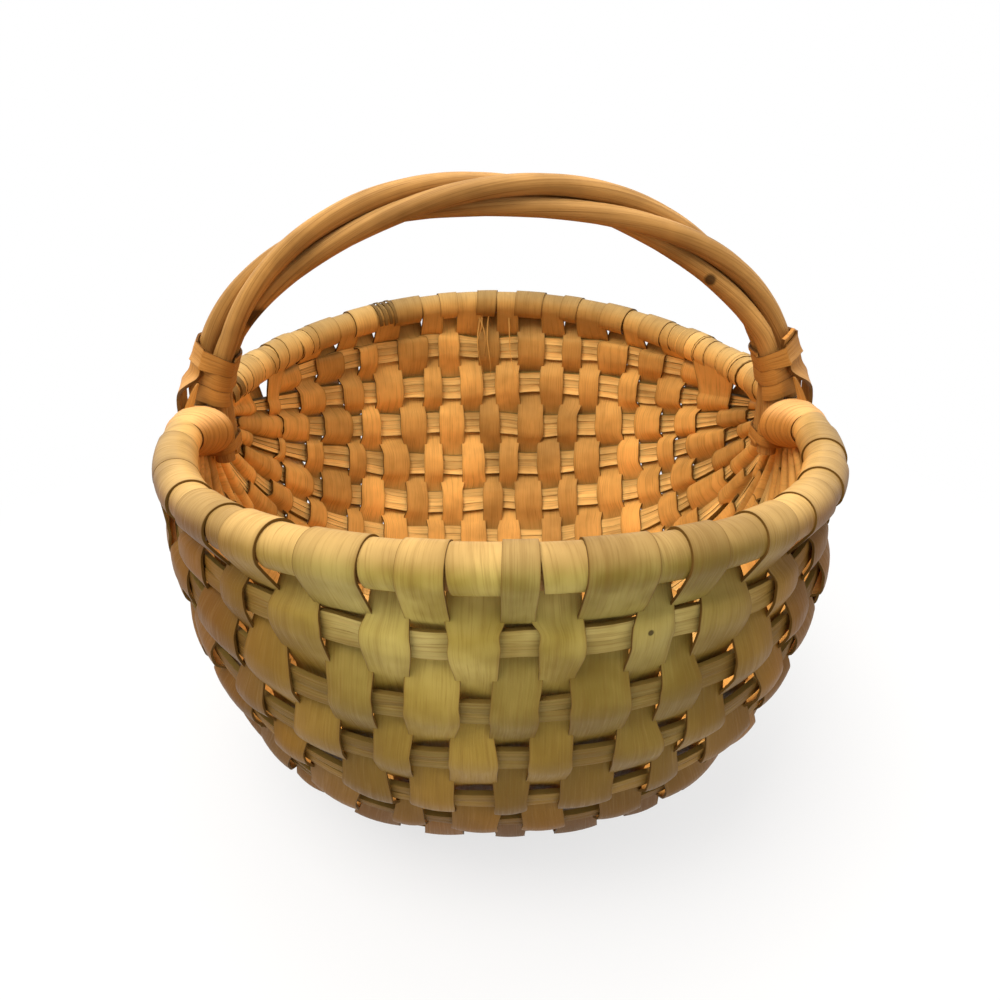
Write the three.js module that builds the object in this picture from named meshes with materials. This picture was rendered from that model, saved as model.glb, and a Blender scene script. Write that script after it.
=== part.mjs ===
// Rib basket of flat splints with an arched handle of twisted rods.
// The ribs run from ear to ear. The weaving splints pass under the bowl from the front rim to the back rim.
// Millimetres, +Z up, X along the handle's span, Y from front to back, origin under the middle of the bottom.
import * as THREE from 'three';

// Rim hoop, measured on the middle of its rod
const RIM_HALF_WIDTH = 150;
const RIM_HALF_DEPTH = 176;
const RIM_RISE = 14;
const RIM_ROD_DIAMETER = 13.4;
const RIM_PLAN_POWER = 2.07;

// Bowl, measured down from the rim at the ears to the middle of the ribs
const BOWL_DEPTH = 174;
const BOWL_ROUND_DEPTH = 201;
const BOTTOM_EASE = 2.5;
const KEEL_LIFT = 42;
const LOBE_SPREAD = 0.28;
const WALL_POWER = 2.38;
const BODY_PLAN_POWER = 2.35;
const SHOULDER = 0.35;

// Ribs, the keel being the middle one
const RIB_PAIRS = 10;
const FRONT_RIB_WIDTH = 10;
const BACK_RIB_WIDTH = 15;
const RIB_THICKNESS = 3;
const RIB_TIP_WIDTH = 3.6;
const RIB_FILL = 0.6;
const KEEL_END_WIDTH = 7;

// Weaving splints
const WEAVER_COUNT = 27;
const WEAVER_THICKNESS = 1.2;
const WEAVER_GAP = 1;
const EAR_WIDENING = 1.5;
const EAR_GAP = 30;
const CREST_MARGIN = 0.6;
const RIM_BERTH = 16.6;
const LOW_LEAVE = 22.8;

// Handle of three rods laid round each other
const HANDLE_RISE = 104;
const HANDLE_ROD_DIAMETER = 9.6;
const HANDLE_TWIST_THIRDS = 3;
const HANDLE_GRIP_START = 44;
const HANDLE_FOOT_DROP = 22.5;

// Ear straps and their windings
const STRAP_WIDTH = 12;
const STRAP_THICKNESS = 1.6;
const STRAP_ABOVE_GRIP = 4;
const LEG_WINDING_WIDTH = 8;
const LEG_WINDING_TURNS = 3;
const LEG_TURNS_UNDER_STRAP = 2;
const FOOT_WINDING_WIDTH = 4.5;
const FOOT_WINDING_TURNS = 2;
const EAR_WRAP_TURNS = 2;
const WINDING_THICKNESS = 1.2;
const WINDING_GAP = 0.7;

// Fits
const CLEARANCE = 0.3;

// Facets
const ROD_SIDES = 8;
const LEG_STEPS = 5;
const GRIP_STEPS = 12;
const WINDING_STEPS = 12;
const ARC_SAMPLES = 600;
const SLOPE_STEP = 0.015;
const SLOPE_TURN = 0.001;

// Derived sizes
const RIB_SPACES = 2 * RIB_PAIRS + 2;
const KEEL = RIB_PAIRS + 1;
const RIM_RADIUS = RIM_ROD_DIAMETER / 2;
const WRAP_RADIUS = RIM_RADIUS + CLEARANCE + WEAVER_THICKNESS / 2;
const WRAP_REACH = WRAP_RADIUS + WEAVER_THICKNESS / 2;
const ROD_RADIUS = HANDLE_ROD_DIAMETER / 2;
const ROD_CIRCLE = (HANDLE_ROD_DIAMETER + CLEARANCE) / Math.sqrt(3);
const ROD_FLAT = Math.cos(Math.PI / ROD_SIDES);
const RIM_FLAT = RIM_RADIUS * ROD_FLAT;
const RIM_TO_INNER_RODS = (RIM_RADIUS + ROD_RADIUS) * ROD_FLAT + 2 * CLEARANCE;
const HANDLE_HALF_SPAN = RIM_HALF_WIDTH - RIM_TO_INNER_RODS + ROD_CIRCLE / 2;
const LEG_START = RIM_FLAT + CLEARANCE;
const LEG_FACE = ROD_CIRCLE + ROD_RADIUS + WINDING_THICKNESS + 2 * CLEARANCE;
const RIM_FACE = RIM_HALF_WIDTH - HANDLE_HALF_SPAN + RIM_RADIUS + CLEARANCE;
const LEG_HALF_DEPTH = HANDLE_ROD_DIAMETER + CLEARANCE / 2 + CLEARANCE + WINDING_THICKNESS;
const RODS = [0, 1, 2];

const { clamp, lerp, smoothstep } = THREE.MathUtils;
const signedPower = (value, power) => Math.sign(value) * Math.abs(value) ** power;
const vector = (x, y, z) => new THREE.Vector3(x, y, z);

// Bowl surface at the middle of the ribs: x along the handle's span, and turn from 0 at the front rim
// through one half at the keel to 1 at the back rim.
function wallPoint(x, turn) {
  const share = Math.min(Math.abs(x) / RIM_HALF_WIDTH, 1);
  const across = signedPower(Math.cos(Math.PI * turn), 2 / WALL_POWER);
  const down = Math.abs(Math.sin(Math.PI * turn)) ** (2 / WALL_POWER);
  const power = lerp(RIM_PLAN_POWER, BODY_PLAN_POWER, smoothstep(down, 0, SHOULDER));
  const reach = (1 - share ** power) ** (1 / power);
  const crease = KEEL_LIFT * Math.exp(-((across / LOBE_SPREAD) ** 2));
  const rise = RIM_RISE * (1 - share ** 2) * (1 - down);
  const depth = flattened((BOWL_ROUND_DEPTH - crease) * reach * down - rise);
  return vector(x, -RIM_HALF_DEPTH * reach * across, -depth);
}

// The round bowl is flat where it rests, with an easy bend from the flat into the round.
function flattened(depth) {
  const past = clamp((depth - BOWL_DEPTH + BOTTOM_EASE) / (2 * BOTTOM_EASE), 0, 1);
  return Math.min(depth, BOWL_DEPTH + BOTTOM_EASE) - BOTTOM_EASE * past ** 2;
}

class MidSection extends THREE.Curve {
  getPoint(turn, target = vector(0, 0, 0)) {
    return target.copy(wallPoint(0, turn));
  }
}

class FrontRim extends THREE.Curve {
  getPoint(share, target = vector(0, 0, 0)) {
    const x = -RIM_HALF_WIDTH * signedPower(Math.cos(Math.PI * share), 2 / RIM_PLAN_POWER);
    return target.copy(wallPoint(x, 0));
  }
}

const midSection = new MidSection();
midSection.arcLengthDivisions = ARC_SAMPLES;
const frontRim = new FrontRim();
frontRim.arcLengthDivisions = ARC_SAMPLES;

// Ribs stand at even spaces along the middle section.
const ribTurns = Array.from({ length: RIB_SPACES + 1 }, (_, rib) =>
  midSection.getUtoTmapping(rib / RIB_SPACES));

// The lines between neighbouring weavers, as places along X. Strips change evenly from middle to ears.
function gapLine(index) {
  const length = frontRim.getLength();
  const half = length / 2 - EAR_GAP;
  const share = (2 * index) / WEAVER_COUNT;
  const near = Math.min(share, 2 - share);
  const grown = (2 * EAR_WIDENING * near + (1 - EAR_WIDENING) * near ** 2) / (1 + EAR_WIDENING);
  const fromEar = EAR_GAP + half * grown;
  const arc = share <= 1 ? fromEar : length - fromEar;
  return frontRim.getPointAt(arc / length).x;
}

const gapLines = Array.from({ length: WEAVER_COUNT + 1 }, (_, index) => gapLine(index));

// Place on the bowl, direction across the ribs in the plane of a gap line, and outward normal.
function wallFrame(x, turn) {
  const point = wallPoint(x, turn);
  const along = wallPoint(x + SLOPE_STEP, turn).sub(wallPoint(x - SLOPE_STEP, turn));
  const across = wallPoint(x, turn + SLOPE_TURN).sub(wallPoint(x, turn - SLOPE_TURN)).normalize();
  const normal = across.clone().cross(along).normalize();
  return { point, across, normal };
}

// Rim section at x on the front (side -1) or the back (side 1): outward and up, square to the rod.
function rimFrame(x, side) {
  const point = wallPoint(x, 0);
  const ahead = wallPoint(Math.min(x + SLOPE_STEP, RIM_HALF_WIDTH), 0);
  const behind = wallPoint(Math.max(x - SLOPE_STEP, -RIM_HALF_WIDTH), 0);
  const tangent = ahead.sub(behind).normalize();
  const up = vector(0, 0, 1).addScaledVector(tangent, -tangent.z).normalize();
  const outward = up.clone().cross(tangent).negate();
  if (side > 0) {
    [point, tangent, up, outward].forEach((item) => item.setY(-item.y));
  }
  return { point, outward, up };
}

const ribFrames = gapLines.map((x) => ribTurns.map((turn) => wallFrame(x, turn)));
const rimFrames = gapLines.map((x) => ({ front: rimFrame(x, -1), back: rimFrame(x, 1) }));

// Width and thickness of a rib where it crosses a gap line: ribs narrow and thin towards the ears.
function ribSize(line, rib) {
  const row = ribFrames[line];
  const full = rib > KEEL ? BACK_RIB_WIDTH : FRONT_RIB_WIDTH;
  const pitch = row[rib + 1].point.distanceTo(row[rib - 1].point) / 2;
  const tapered = Math.min(full, RIB_FILL * pitch);
  const width = rib === KEEL ? Math.max(tapered, KEEL_END_WIDTH) : tapered;
  return { width, thickness: RIB_THICKNESS * Math.sqrt(Math.min(width / full, 1)) };
}

function ribFits(line, rib) {
  if (rib === KEEL) {
    return true;
  }
  const row = ribFrames[line];
  const { width } = ribSize(line, rib);
  const toRim = Math.min(
    row[rib].point.distanceTo(row[0].point),
    row[rib].point.distanceTo(row[RIB_SPACES].point),
  );
  return width >= RIB_TIP_WIDTH && toRim > WRAP_REACH + width / 2 + CREST_MARGIN + CLEARANCE;
}

// First gap line that each rib reaches, counted from either ear.
const ribStarts = ribTurns.map((_, rib) => {
  if (rib === 0 || rib === RIB_SPACES) {
    return 0;
  }
  return gapLines.findIndex((_line, line) => ribFits(line, rib));
});

const ribCrosses = (rib, weaver) => weaver >= ribStarts[rib] && weaver + 1 <= WEAVER_COUNT - ribStarts[rib];

// Closed solid through a row of sections, each a loop of points with the same count.
function loft(sections, closed = false) {
  const sides = sections[0].length;
  const positions = sections.flatMap((section) => section.flatMap((point) => point.toArray()));
  const indices = [];
  const spans = closed ? sections.length : sections.length - 1;
  for (let span = 0; span < spans; span += 1) {
    const here = span * sides;
    const next = ((span + 1) % sections.length) * sides;
    for (let side = 0; side < sides; side += 1) {
      const other = (side + 1) % sides;
      indices.push(here + side, next + side, here + other);
      indices.push(here + other, next + side, next + other);
    }
  }
  if (!closed) {
    const last = (sections.length - 1) * sides;
    for (let side = 1; side < sides - 1; side += 1) {
      indices.push(0, side, side + 1);
      indices.push(last, last + side + 1, last + side);
    }
  }
  const geometry = new THREE.BufferGeometry();
  geometry.setAttribute('position', new THREE.Float32BufferAttribute(positions, 3));
  geometry.setIndex(signedVolume(positions, indices) < 0 ? indices.reverse() : indices);
  return geometry;
}

function signedVolume(positions, indices) {
  const corner = (index) => vector(...positions.slice(3 * index, 3 * index + 3));
  let volume = 0;
  for (let start = 0; start < indices.length; start += 3) {
    const [first, second, third] = indices.slice(start, start + 3).map(corner);
    volume += first.dot(second.cross(third)) / 6;
  }
  return volume;
}

// Flat section: half a width each way along one direction and half a thickness each way along the other.
function flatSection(centre, wide, width, thick, thickness) {
  const corners = [[-1, -1], [1, -1], [1, 1], [-1, 1]];
  return corners.map(([side, face]) =>
    centre.clone().addScaledVector(wide, (side * width) / 2).addScaledVector(thick, (face * thickness) / 2));
}

function polygonAngles(sides) {
  return Array.from({ length: sides }, (_, side) => ((2 * side + 1) * Math.PI) / sides);
}

function addMesh(group, name, geometry, finish) {
  geometry.computeVertexNormals();
  const { color, roughness } = finish;
  const mesh = new THREE.Mesh(geometry, new THREE.MeshStandardMaterial({ color, roughness, metalness: 0 }));
  mesh.name = name;
  group.add(mesh);
}

const FINISH = {
  rim: { color: 0x9c7443, roughness: 0.6 },
  rib: { color: 0xa9783f, roughness: 0.75 },
  weaver: { color: 0xbc9457, roughness: 0.6 },
  handle: { color: 0xab8350, roughness: 0.55 },
  winding: { color: 0xc29f66, roughness: 0.6 },
};

const numbered = (name, index) => `${name}_${String(index).padStart(2, '0')}`;

// Rim hoop: one round rod bent into a closed ring.
function rimHoop() {
  const angles = polygonAngles(ROD_SIDES);
  const section = ({ point, outward, up }) => angles.map((angle) =>
    point.clone()
      .addScaledVector(outward, RIM_RADIUS * Math.cos(angle))
      .addScaledVector(up, RIM_RADIUS * Math.sin(angle)));
  const earShare = EAR_GAP / frontRim.getLength() / 2;
  const leftEar = frontRim.getPointAt(earShare).x;
  const rightEar = frontRim.getPointAt(1 - earShare).x;
  const back = rimFrames.map((frame) => section(frame.back)).reverse();
  return loft([
    section(rimFrame(leftEar, -1)),
    ...rimFrames.map((frame) => section(frame.front)),
    section(rimFrame(rightEar, -1)),
    section(rimFrame(RIM_HALF_WIDTH, -1)),
    section(rimFrame(rightEar, 1)),
    ...back,
    section(rimFrame(leftEar, 1)),
    section(rimFrame(-RIM_HALF_WIDTH, -1)),
  ], true);
}

// Rib: a flat splint between its two tips. The keel goes on to the underside of the rim at each ear.
function ribSolid(rib) {
  const start = ribStarts[rib];
  const sections = [];
  for (let line = start; line <= WEAVER_COUNT - start; line += 1) {
    const { point, across, normal } = ribFrames[line][rib];
    const { width, thickness } = ribSize(line, rib);
    sections.push(flatSection(point, across, width, normal, thickness));
  }
  if (rib === KEEL) {
    const { width, thickness } = ribSize(0, rib);
    const underRim = -(RIM_FLAT + CLEARANCE);
    const tongue = (side) => flatSection(
      vector(side * RIM_HALF_WIDTH, 0, underRim), vector(0, 1, 0), width, vector(side, 0, 0), thickness);
    sections.unshift(tongue(-1));
    sections.push(tongue(1));
  }
  return loft(sections);
}

// Path of a weaver along one gap line: a list of places with the direction of its thickness.
function weaverPath(weaver, line) {
  const phase = weaver % 2 === 0 ? -1 : 1;
  const sideAt = (rib) => (rib % 2 === 0 ? phase : -phase);
  const crossings = ribTurns.map((_, rib) => rib).filter((rib) => ribCrosses(rib, weaver));
  const offsetAt = (rib) => {
    const { thickness } = ribSize(line, rib);
    return sideAt(rib) * (thickness / 2 + CLEARANCE + WEAVER_THICKNESS / 2);
  };
  const floatAt = (rib) => {
    const last = crossings.filter((crossing) => crossing < rib).pop();
    const next = crossings.find((crossing) => crossing > rib);
    const from = last === 0 ? offsetAt(KEEL) * sideAt(0) * sideAt(KEEL) : offsetAt(last);
    const to = next === RIB_SPACES ? offsetAt(KEEL) * sideAt(RIB_SPACES) * sideAt(KEEL) : offsetAt(next);
    return lerp(from, to, (rib - last) / (next - last));
  };
  const wall = [];
  for (let rib = 1; rib < RIB_SPACES; rib += 1) {
    const { point, across, normal } = ribFrames[line][rib];
    if (ribCrosses(rib, weaver)) {
      const reach = ribSize(line, rib).width / 2 + CREST_MARGIN;
      [-reach, reach].forEach((shift) => {
        const place = point.clone().addScaledVector(across, shift).addScaledVector(normal, offsetAt(rib));
        wall.push({ place, thick: normal });
      });
    } else if (wallClear(weaver, rib)) {
      wall.push({ place: point.clone().addScaledVector(normal, floatAt(rib)), thick: normal });
    }
  }
  const { front, back } = rimFrames[line];
  const corners = wrapCorners(weaver);
  return [
    ...rimWrap(front, phase, corners.front),
    ...wall,
    ...rimWrap(back, phase, corners.back).reverse(),
  ];
}

// A weaver has a place of its own beside a missing rib only where that lies clear of the wrapped rim.
function wallClear(weaver, rib) {
  return [weaver, weaver + 1].every((line) => {
    const row = ribFrames[line];
    const ends = [row[0].point, row[RIB_SPACES].point];
    return ends.every((end) => row[rib].point.distanceTo(end) > RIM_BERTH);
  });
}

// Turns of a weaver round the rim rod, from its tucked end over the top and down to the wall.
function rimWrap({ point, outward, up }, phase, corners) {
  const turn = (2 * Math.PI) / ROD_SIDES;
  const tail = Math.PI + turn / 2;
  return Array.from({ length: corners }, (_, corner) => {
    const angle = tail - corner * turn;
    const sideways = outward.clone().multiplyScalar(phase * Math.cos(angle));
    const radial = sideways.addScaledVector(up, Math.sin(angle));
    return { place: point.clone().addScaledVector(radial, WRAP_RADIUS), thick: radial.multiplyScalar(phase) };
  });
}

// Count of the wrap's corners at each rim: one more where the next rib is so near that it leaves low.
function wrapCorners(weaver) {
  const count = (rim, order) => {
    const rib = order.find((item) => ribCrosses(item, weaver) || wallClear(weaver, item));
    const distance = Math.min(...[weaver, weaver + 1].map((line) =>
      ribFrames[line][rib].point.distanceTo(ribFrames[line][rim].point) - ribSize(line, rib).width / 2));
    const crossesOver = ribCrosses(rib, weaver) && (rib - rim) % 2 !== 0;
    const full = ROD_SIDES / 2 + 2;
    return crossesOver && distance < LOW_LEAVE ? full + 1 : full;
  };
  const order = Array.from({ length: RIB_SPACES - 1 }, (_, index) => index + 1);
  return { front: count(0, order), back: count(RIB_SPACES, [...order].reverse()) };
}

// Weaver: a flat splint between two gap lines, bent over and under the ribs and lapped round the rim.
function weaverSolid(weaver) {
  const left = weaverPath(weaver, weaver);
  const right = weaverPath(weaver, weaver + 1);
  const sections = left.map((from, index) => {
    const to = right[index];
    const inset = WEAVER_GAP / 2 / from.place.distanceTo(to.place);
    const edges = [inset, 1 - inset].map((share) => ({
      place: from.place.clone().lerp(to.place, share),
      thick: from.thick.clone().lerp(to.thick, share).normalize(),
    }));
    const corner = (edge, face) =>
      edge.place.clone().addScaledVector(edge.thick, (face * WEAVER_THICKNESS) / 2);
    return [corner(edges[1], -1), corner(edges[0], -1), corner(edges[0], 1), corner(edges[1], 1)];
  });
  return loft(sections);
}

// Middle line of the handle: an arch just inside the rim's ears with a straight foot below each ear.
const arch = new THREE.EllipseCurve(0, 0, HANDLE_HALF_SPAN, HANDLE_RISE, Math.PI, 0, true);
arch.arcLengthDivisions = ARC_SAMPLES;
const ARCH_LENGTH = arch.getLength();

function handleFrame(distance) {
  const share = clamp(distance / ARCH_LENGTH, 0, 1);
  const place = arch.getPointAt(share);
  const heading = arch.getTangentAt(share);
  const beyond = distance - share * ARCH_LENGTH;
  const tangent = vector(heading.x, 0, heading.y);
  const point = vector(place.x, 0, place.y).addScaledVector(tangent, beyond);
  return { point, outward: vector(-tangent.z, 0, tangent.x) };
}

// Where a rod lies round the middle line: straight along the legs and laid round the others over the arch.
// At each ear the first rod is above the rim, and the other two are inside it.
function rodOffset(rod, distance) {
  const share = clamp((distance - HANDLE_GRIP_START) / (ARCH_LENGTH - 2 * HANDLE_GRIP_START), 0, 1);
  const angle = ((rod + HANDLE_TWIST_THIRDS * share) * 2 * Math.PI) / RODS.length;
  return new THREE.Vector2(Math.cos(angle), Math.sin(angle)).multiplyScalar(ROD_CIRCLE);
}

// Stations of a leg from the rim up to the grip and of its foot below the rim, as distances above the ear.
const legStations = Array.from({ length: LEG_STEPS + 1 }, (_, step) =>
  lerp(LEG_START, HANDLE_GRIP_START, step / LEG_STEPS));
const footStations = [-HANDLE_FOOT_DROP, 0];

// Rod of the handle: a round section carried along the middle line from one ear to the other. The first rod
// stands on the rim, and the other two go on down to their feet.
function rodSolid(rod) {
  const leg = rod === 0 ? legStations : [...footStations, ...legStations];
  const grip = Array.from({ length: GRIP_STEPS - 1 }, (_, step) =>
    lerp(HANDLE_GRIP_START, ARCH_LENGTH - HANDLE_GRIP_START, (step + 1) / GRIP_STEPS));
  const farLeg = leg.map((distance) => ARCH_LENGTH - distance).reverse();
  const sections = [...leg, ...grip, ...farLeg].map((distance) => {
    const { point, outward } = handleFrame(distance);
    const offset = rodOffset(rod, distance);
    return polygonAngles(ROD_SIDES).map((angle) =>
      point.clone()
        .addScaledVector(outward, offset.x + ROD_RADIUS * Math.cos(angle))
        .add(vector(0, offset.y + ROD_RADIUS * Math.sin(angle), 0)));
  });
  return loft(sections);
}

// A leg of the handle, by the distance above its ear, on the left (side -1) or the right (side 1).
function legPlace(side, distance, offset) {
  const { point, outward } = handleFrame(side < 0 ? distance : ARCH_LENGTH - distance);
  return point.addScaledVector(outward, offset.x).add(vector(0, offset.y, 0));
}

// Inner face of the strap, from the rim's outer side up to the lower turns of the winding.
const strapFace = (distance) =>
  lerp(RIM_FACE, LEG_FACE, smoothstep(distance, LEG_START, HANDLE_GRIP_START));

// Strap: a flat splint down the outside of the leg and the rim.
function strapSolid(side) {
  const stations = [...footStations, ...legStations, HANDLE_GRIP_START + STRAP_ABOVE_GRIP];
  const sections = stations.map((distance) => {
    const inner = strapFace(distance);
    const outer = inner + STRAP_THICKNESS;
    return [[inner, -1], [inner, 1], [outer, 1], [outer, -1]].map(([out, edge]) =>
      legPlace(side, distance, new THREE.Vector2(out, (edge * STRAP_WIDTH) / 2)));
  });
  return loft(sections);
}

// Reach from the leg's middle line in one direction across it, of the rods and of a strap bound in.
function legReach(distance, angle, overStrap) {
  const direction = new THREE.Vector2(Math.cos(angle), Math.sin(angle));
  const spans = RODS.map((rod) => rodOffset(rod, distance).dot(direction) + ROD_RADIUS);
  if (overStrap) {
    const face = strapFace(distance) + STRAP_THICKNESS;
    const edges = [-1, 1].map((edge) => new THREE.Vector2(face, (edge * STRAP_WIDTH) / 2));
    spans.push(...edges.map((edge) => edge.dot(direction)));
  }
  return Math.max(...spans) + CLEARANCE;
}

const windingAngle = (step) => Math.PI + (2 * Math.PI * step) / WINDING_STEPS;

// Corner of a winding between two neighbouring directions, a given height off what it binds.
function windingCorner(side, distance, step, height, overStrap) {
  const [first, second] = [windingAngle(step), windingAngle(step + 1)];
  const [near, far] = [first, second].map((angle) => legReach(distance, angle, overStrap) + height);
  const offset = new THREE.Vector2(
    near * Math.sin(second) - far * Math.sin(first),
    far * Math.cos(first) - near * Math.cos(second),
  ).divideScalar(Math.sin(second - first));
  return legPlace(side, distance, offset);
}

// Helix of flat sections, one for each step, from a place for each edge and each height.
function helix(turns, place) {
  const sections = Array.from({ length: turns * WINDING_STEPS + 1 }, (_, step) =>
    [[-1, 0], [1, 0], [1, WINDING_THICKNESS], [-1, WINDING_THICKNESS]].map(([edge, height]) =>
      place(step, edge, height)));
  return { geometry: loft(sections), gap: windingGap(sections) };
}

// Winding: one flat splint laid round the leg, upwards (rise 1) or downwards (rise -1) from the rim.
// It starts on the leg's inner side, and its first turns may lie under the strap.
function windingSolid(side, width, turns, rise, turnsUnder) {
  const first = LEG_START + CLEARANCE + width / 2;
  const pitch = width + WINDING_GAP;
  return helix(turns, (step, edge, height) => {
    const distance = rise * (first + (pitch * step) / WINDING_STEPS) + (edge * width) / 2;
    return windingCorner(side, distance, step, height, step >= turnsUnder * WINDING_STEPS);
  });
}

// Ear wrap: one flat splint laid round the rim between the front of the leg and the first weaver.
function earWrapSolid(side) {
  const first = LEG_HALF_DEPTH + CLEARANCE;
  const width = (EAR_GAP - first - EAR_WRAP_TURNS * WINDING_GAP) / (EAR_WRAP_TURNS + 1);
  const pitch = width + WINDING_GAP;
  const length = frontRim.getLength();
  return helix(EAR_WRAP_TURNS, (step, edge, height) => {
    const fromEar = first + ((1 + edge) * width) / 2 + (pitch * step) / WINDING_STEPS;
    const arc = side < 0 ? fromEar : length - fromEar;
    const { point, outward, up } = rimFrame(frontRim.getPointAt(arc / length).x, -1);
    const angle = windingAngle(step);
    const radius = (RIM_RADIUS + CLEARANCE + height) / Math.cos(Math.PI / WINDING_STEPS);
    return point
      .addScaledVector(outward, radius * Math.cos(angle))
      .addScaledVector(up, radius * Math.sin(angle));
  });
}

// Least distance between one turn of a winding and the next, measured on its corners.
function windingGap(sections) {
  let least = Infinity;
  for (let step = WINDING_STEPS; step < sections.length; step += 1) {
    sections[step].forEach((corner) => {
      sections[step - WINDING_STEPS].forEach((other) => {
        least = Math.min(least, corner.distanceTo(other));
      });
    });
  }
  return least;
}

const basket = new THREE.Group();
addMesh(basket, 'rim_hoop', rimHoop(), FINISH.rim);
addMesh(basket, 'keel_rib', ribSolid(KEEL), FINISH.rib);
for (let rib = 1; rib <= RIB_PAIRS; rib += 1) {
  addMesh(basket, numbered('front_rib', rib), ribSolid(rib), FINISH.rib);
  addMesh(basket, numbered('back_rib', rib), ribSolid(RIB_SPACES - rib), FINISH.rib);
}
for (let weaver = 0; weaver < WEAVER_COUNT; weaver += 1) {
  addMesh(basket, numbered('weaver', weaver + 1), weaverSolid(weaver), FINISH.weaver);
}
RODS.forEach((rod) => addMesh(basket, numbered('handle_rod', rod + 1), rodSolid(rod), FINISH.handle));
[['left', -1], ['right', 1]].forEach(([label, side]) => {
  addMesh(basket, `ear_strap_${label}`, strapSolid(side), FINISH.winding);
  const windings = {
    leg_winding: windingSolid(side, LEG_WINDING_WIDTH, LEG_WINDING_TURNS, 1, LEG_TURNS_UNDER_STRAP),
    foot_winding: windingSolid(side, FOOT_WINDING_WIDTH, FOOT_WINDING_TURNS, -1, 0),
    ear_wrap: earWrapSolid(side),
  };
  Object.entries(windings).forEach(([name, { geometry, gap }]) => {
    addMesh(basket, `${name}_${label}`, geometry, FINISH.winding);
    console.log(`least gap between turns of ${name}_${label}: ${gap.toFixed(2)} mm`);
  });
});

// The basket stands with its lowest face on the ground.
basket.position.z = -new THREE.Box3().setFromObject(basket).min.z;

export default basket;
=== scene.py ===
"""Splint rib basket with a twisted rod handle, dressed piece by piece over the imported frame."""
import logging
import math
import random
from bisect import bisect_left
from dataclasses import dataclass, field
from enum import Enum
from typing import Callable

import bmesh
import bpy
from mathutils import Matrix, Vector


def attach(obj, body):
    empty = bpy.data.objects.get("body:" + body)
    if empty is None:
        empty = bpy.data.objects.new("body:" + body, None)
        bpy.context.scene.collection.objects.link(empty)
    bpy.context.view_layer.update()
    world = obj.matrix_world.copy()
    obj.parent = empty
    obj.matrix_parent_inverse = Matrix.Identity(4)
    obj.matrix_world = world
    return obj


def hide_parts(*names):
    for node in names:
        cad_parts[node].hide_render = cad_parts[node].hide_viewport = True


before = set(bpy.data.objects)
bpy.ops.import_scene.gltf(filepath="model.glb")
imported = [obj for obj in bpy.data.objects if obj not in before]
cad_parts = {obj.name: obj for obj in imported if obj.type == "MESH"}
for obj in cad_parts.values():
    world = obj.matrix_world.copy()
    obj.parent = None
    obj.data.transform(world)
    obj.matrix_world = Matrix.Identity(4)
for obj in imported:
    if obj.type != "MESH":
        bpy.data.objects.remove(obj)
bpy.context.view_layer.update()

log = logging.getLogger("basket")

Colour = tuple[float, float, float]
Place = tuple[float, float, float]
Span = tuple[float, float]
Axes = tuple[Vector, Vector, Vector]
Section = tuple[Vector, Vector, Vector, float]
Rows = list[list[Vector]]
Inputs = dict[object, object]

BODY = "root"
MM = 0.001
UP = Vector((0, 0, 1))
ACROSS = (-1.0, -0.5, 0.0, 0.5, 1.0)
RUN = "run"
MARKS = ("row", "column")
LOOKS = ("facing", "tone", "sky")
RUN_PER_MM = 0.01
MERGE_DISTANCE = 1e-7
LEAST_NORMAL = 1e-9
SHARP_EDGE = math.radians(50)
WHITE = (1.0, 1.0, 1.0, 1.0)
MIX_SHARE = 0
MIX_FIRST = 6
MIX_SECOND = 7
MIX_RESULT = 2


class Ear(Enum):
    """The two ends of the handle's span."""

    LEFT = -1
    RIGHT = 1


class Half(Enum):
    """The two halves of the rim on either side of the ears."""

    FRONT = -1
    BACK = 1


class Slot(Enum):
    """Material slots of the record."""

    RIM = "rim"
    RIB = "rib"
    WEAVER = "weaver"
    HANDLE = "handle"
    BINDING = "binding"


def clamp(value: float, low: float = 0.0, high: float = 1.0) -> float:
    """Return a number kept between low and high."""
    return min(max(value, low), high)


def lerp(start: float, end: float, share: float) -> float:
    """Return the number a share of the way from start to end."""
    return start + (end - start) * share


def smooth(value: float, low: float, high: float) -> float:
    """Return 0 below low, 1 above high and an easy slope between."""
    share = clamp((value - low) / (high - low))
    return share * share * (3 - 2 * share)


def signed_power(value: float, power: float) -> float:
    """Return the power of a number's size with the number's sign."""
    return math.copysign(abs(value) ** power, value)


def upright(tangent: Vector) -> Vector:
    """Return the upward direction square to a tangent."""
    return (UP - tangent * tangent.z).normalized()


def rows_across(lines: Rows) -> Rows:
    """Return the rows across lines that run side by side."""
    return [list(row) for row in zip(*lines)]


def faces_of(verts: list[bmesh.types.BMVert]) -> list[bmesh.types.BMFace]:
    """Return the faces that meet at some vertices, each once and in a fixed order."""
    return list(dict.fromkeys(face for vert in verts for face in vert.link_faces))


def signed_volume(faces: list[bmesh.types.BMFace]) -> float:
    """Measure a closed set of faces.

    Args:
        faces: The faces.

    Returns:
        The volume inside them, below zero where they look inward.
    """
    origin = faces[0].verts[0].co.copy()
    total = 0.0
    for face in faces:
        corners = [vert.co - origin for vert in face.verts]
        for second, third in zip(corners[1:], corners[2:]):
            total += corners[0].dot(second.cross(third))
    return total / 6


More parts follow.
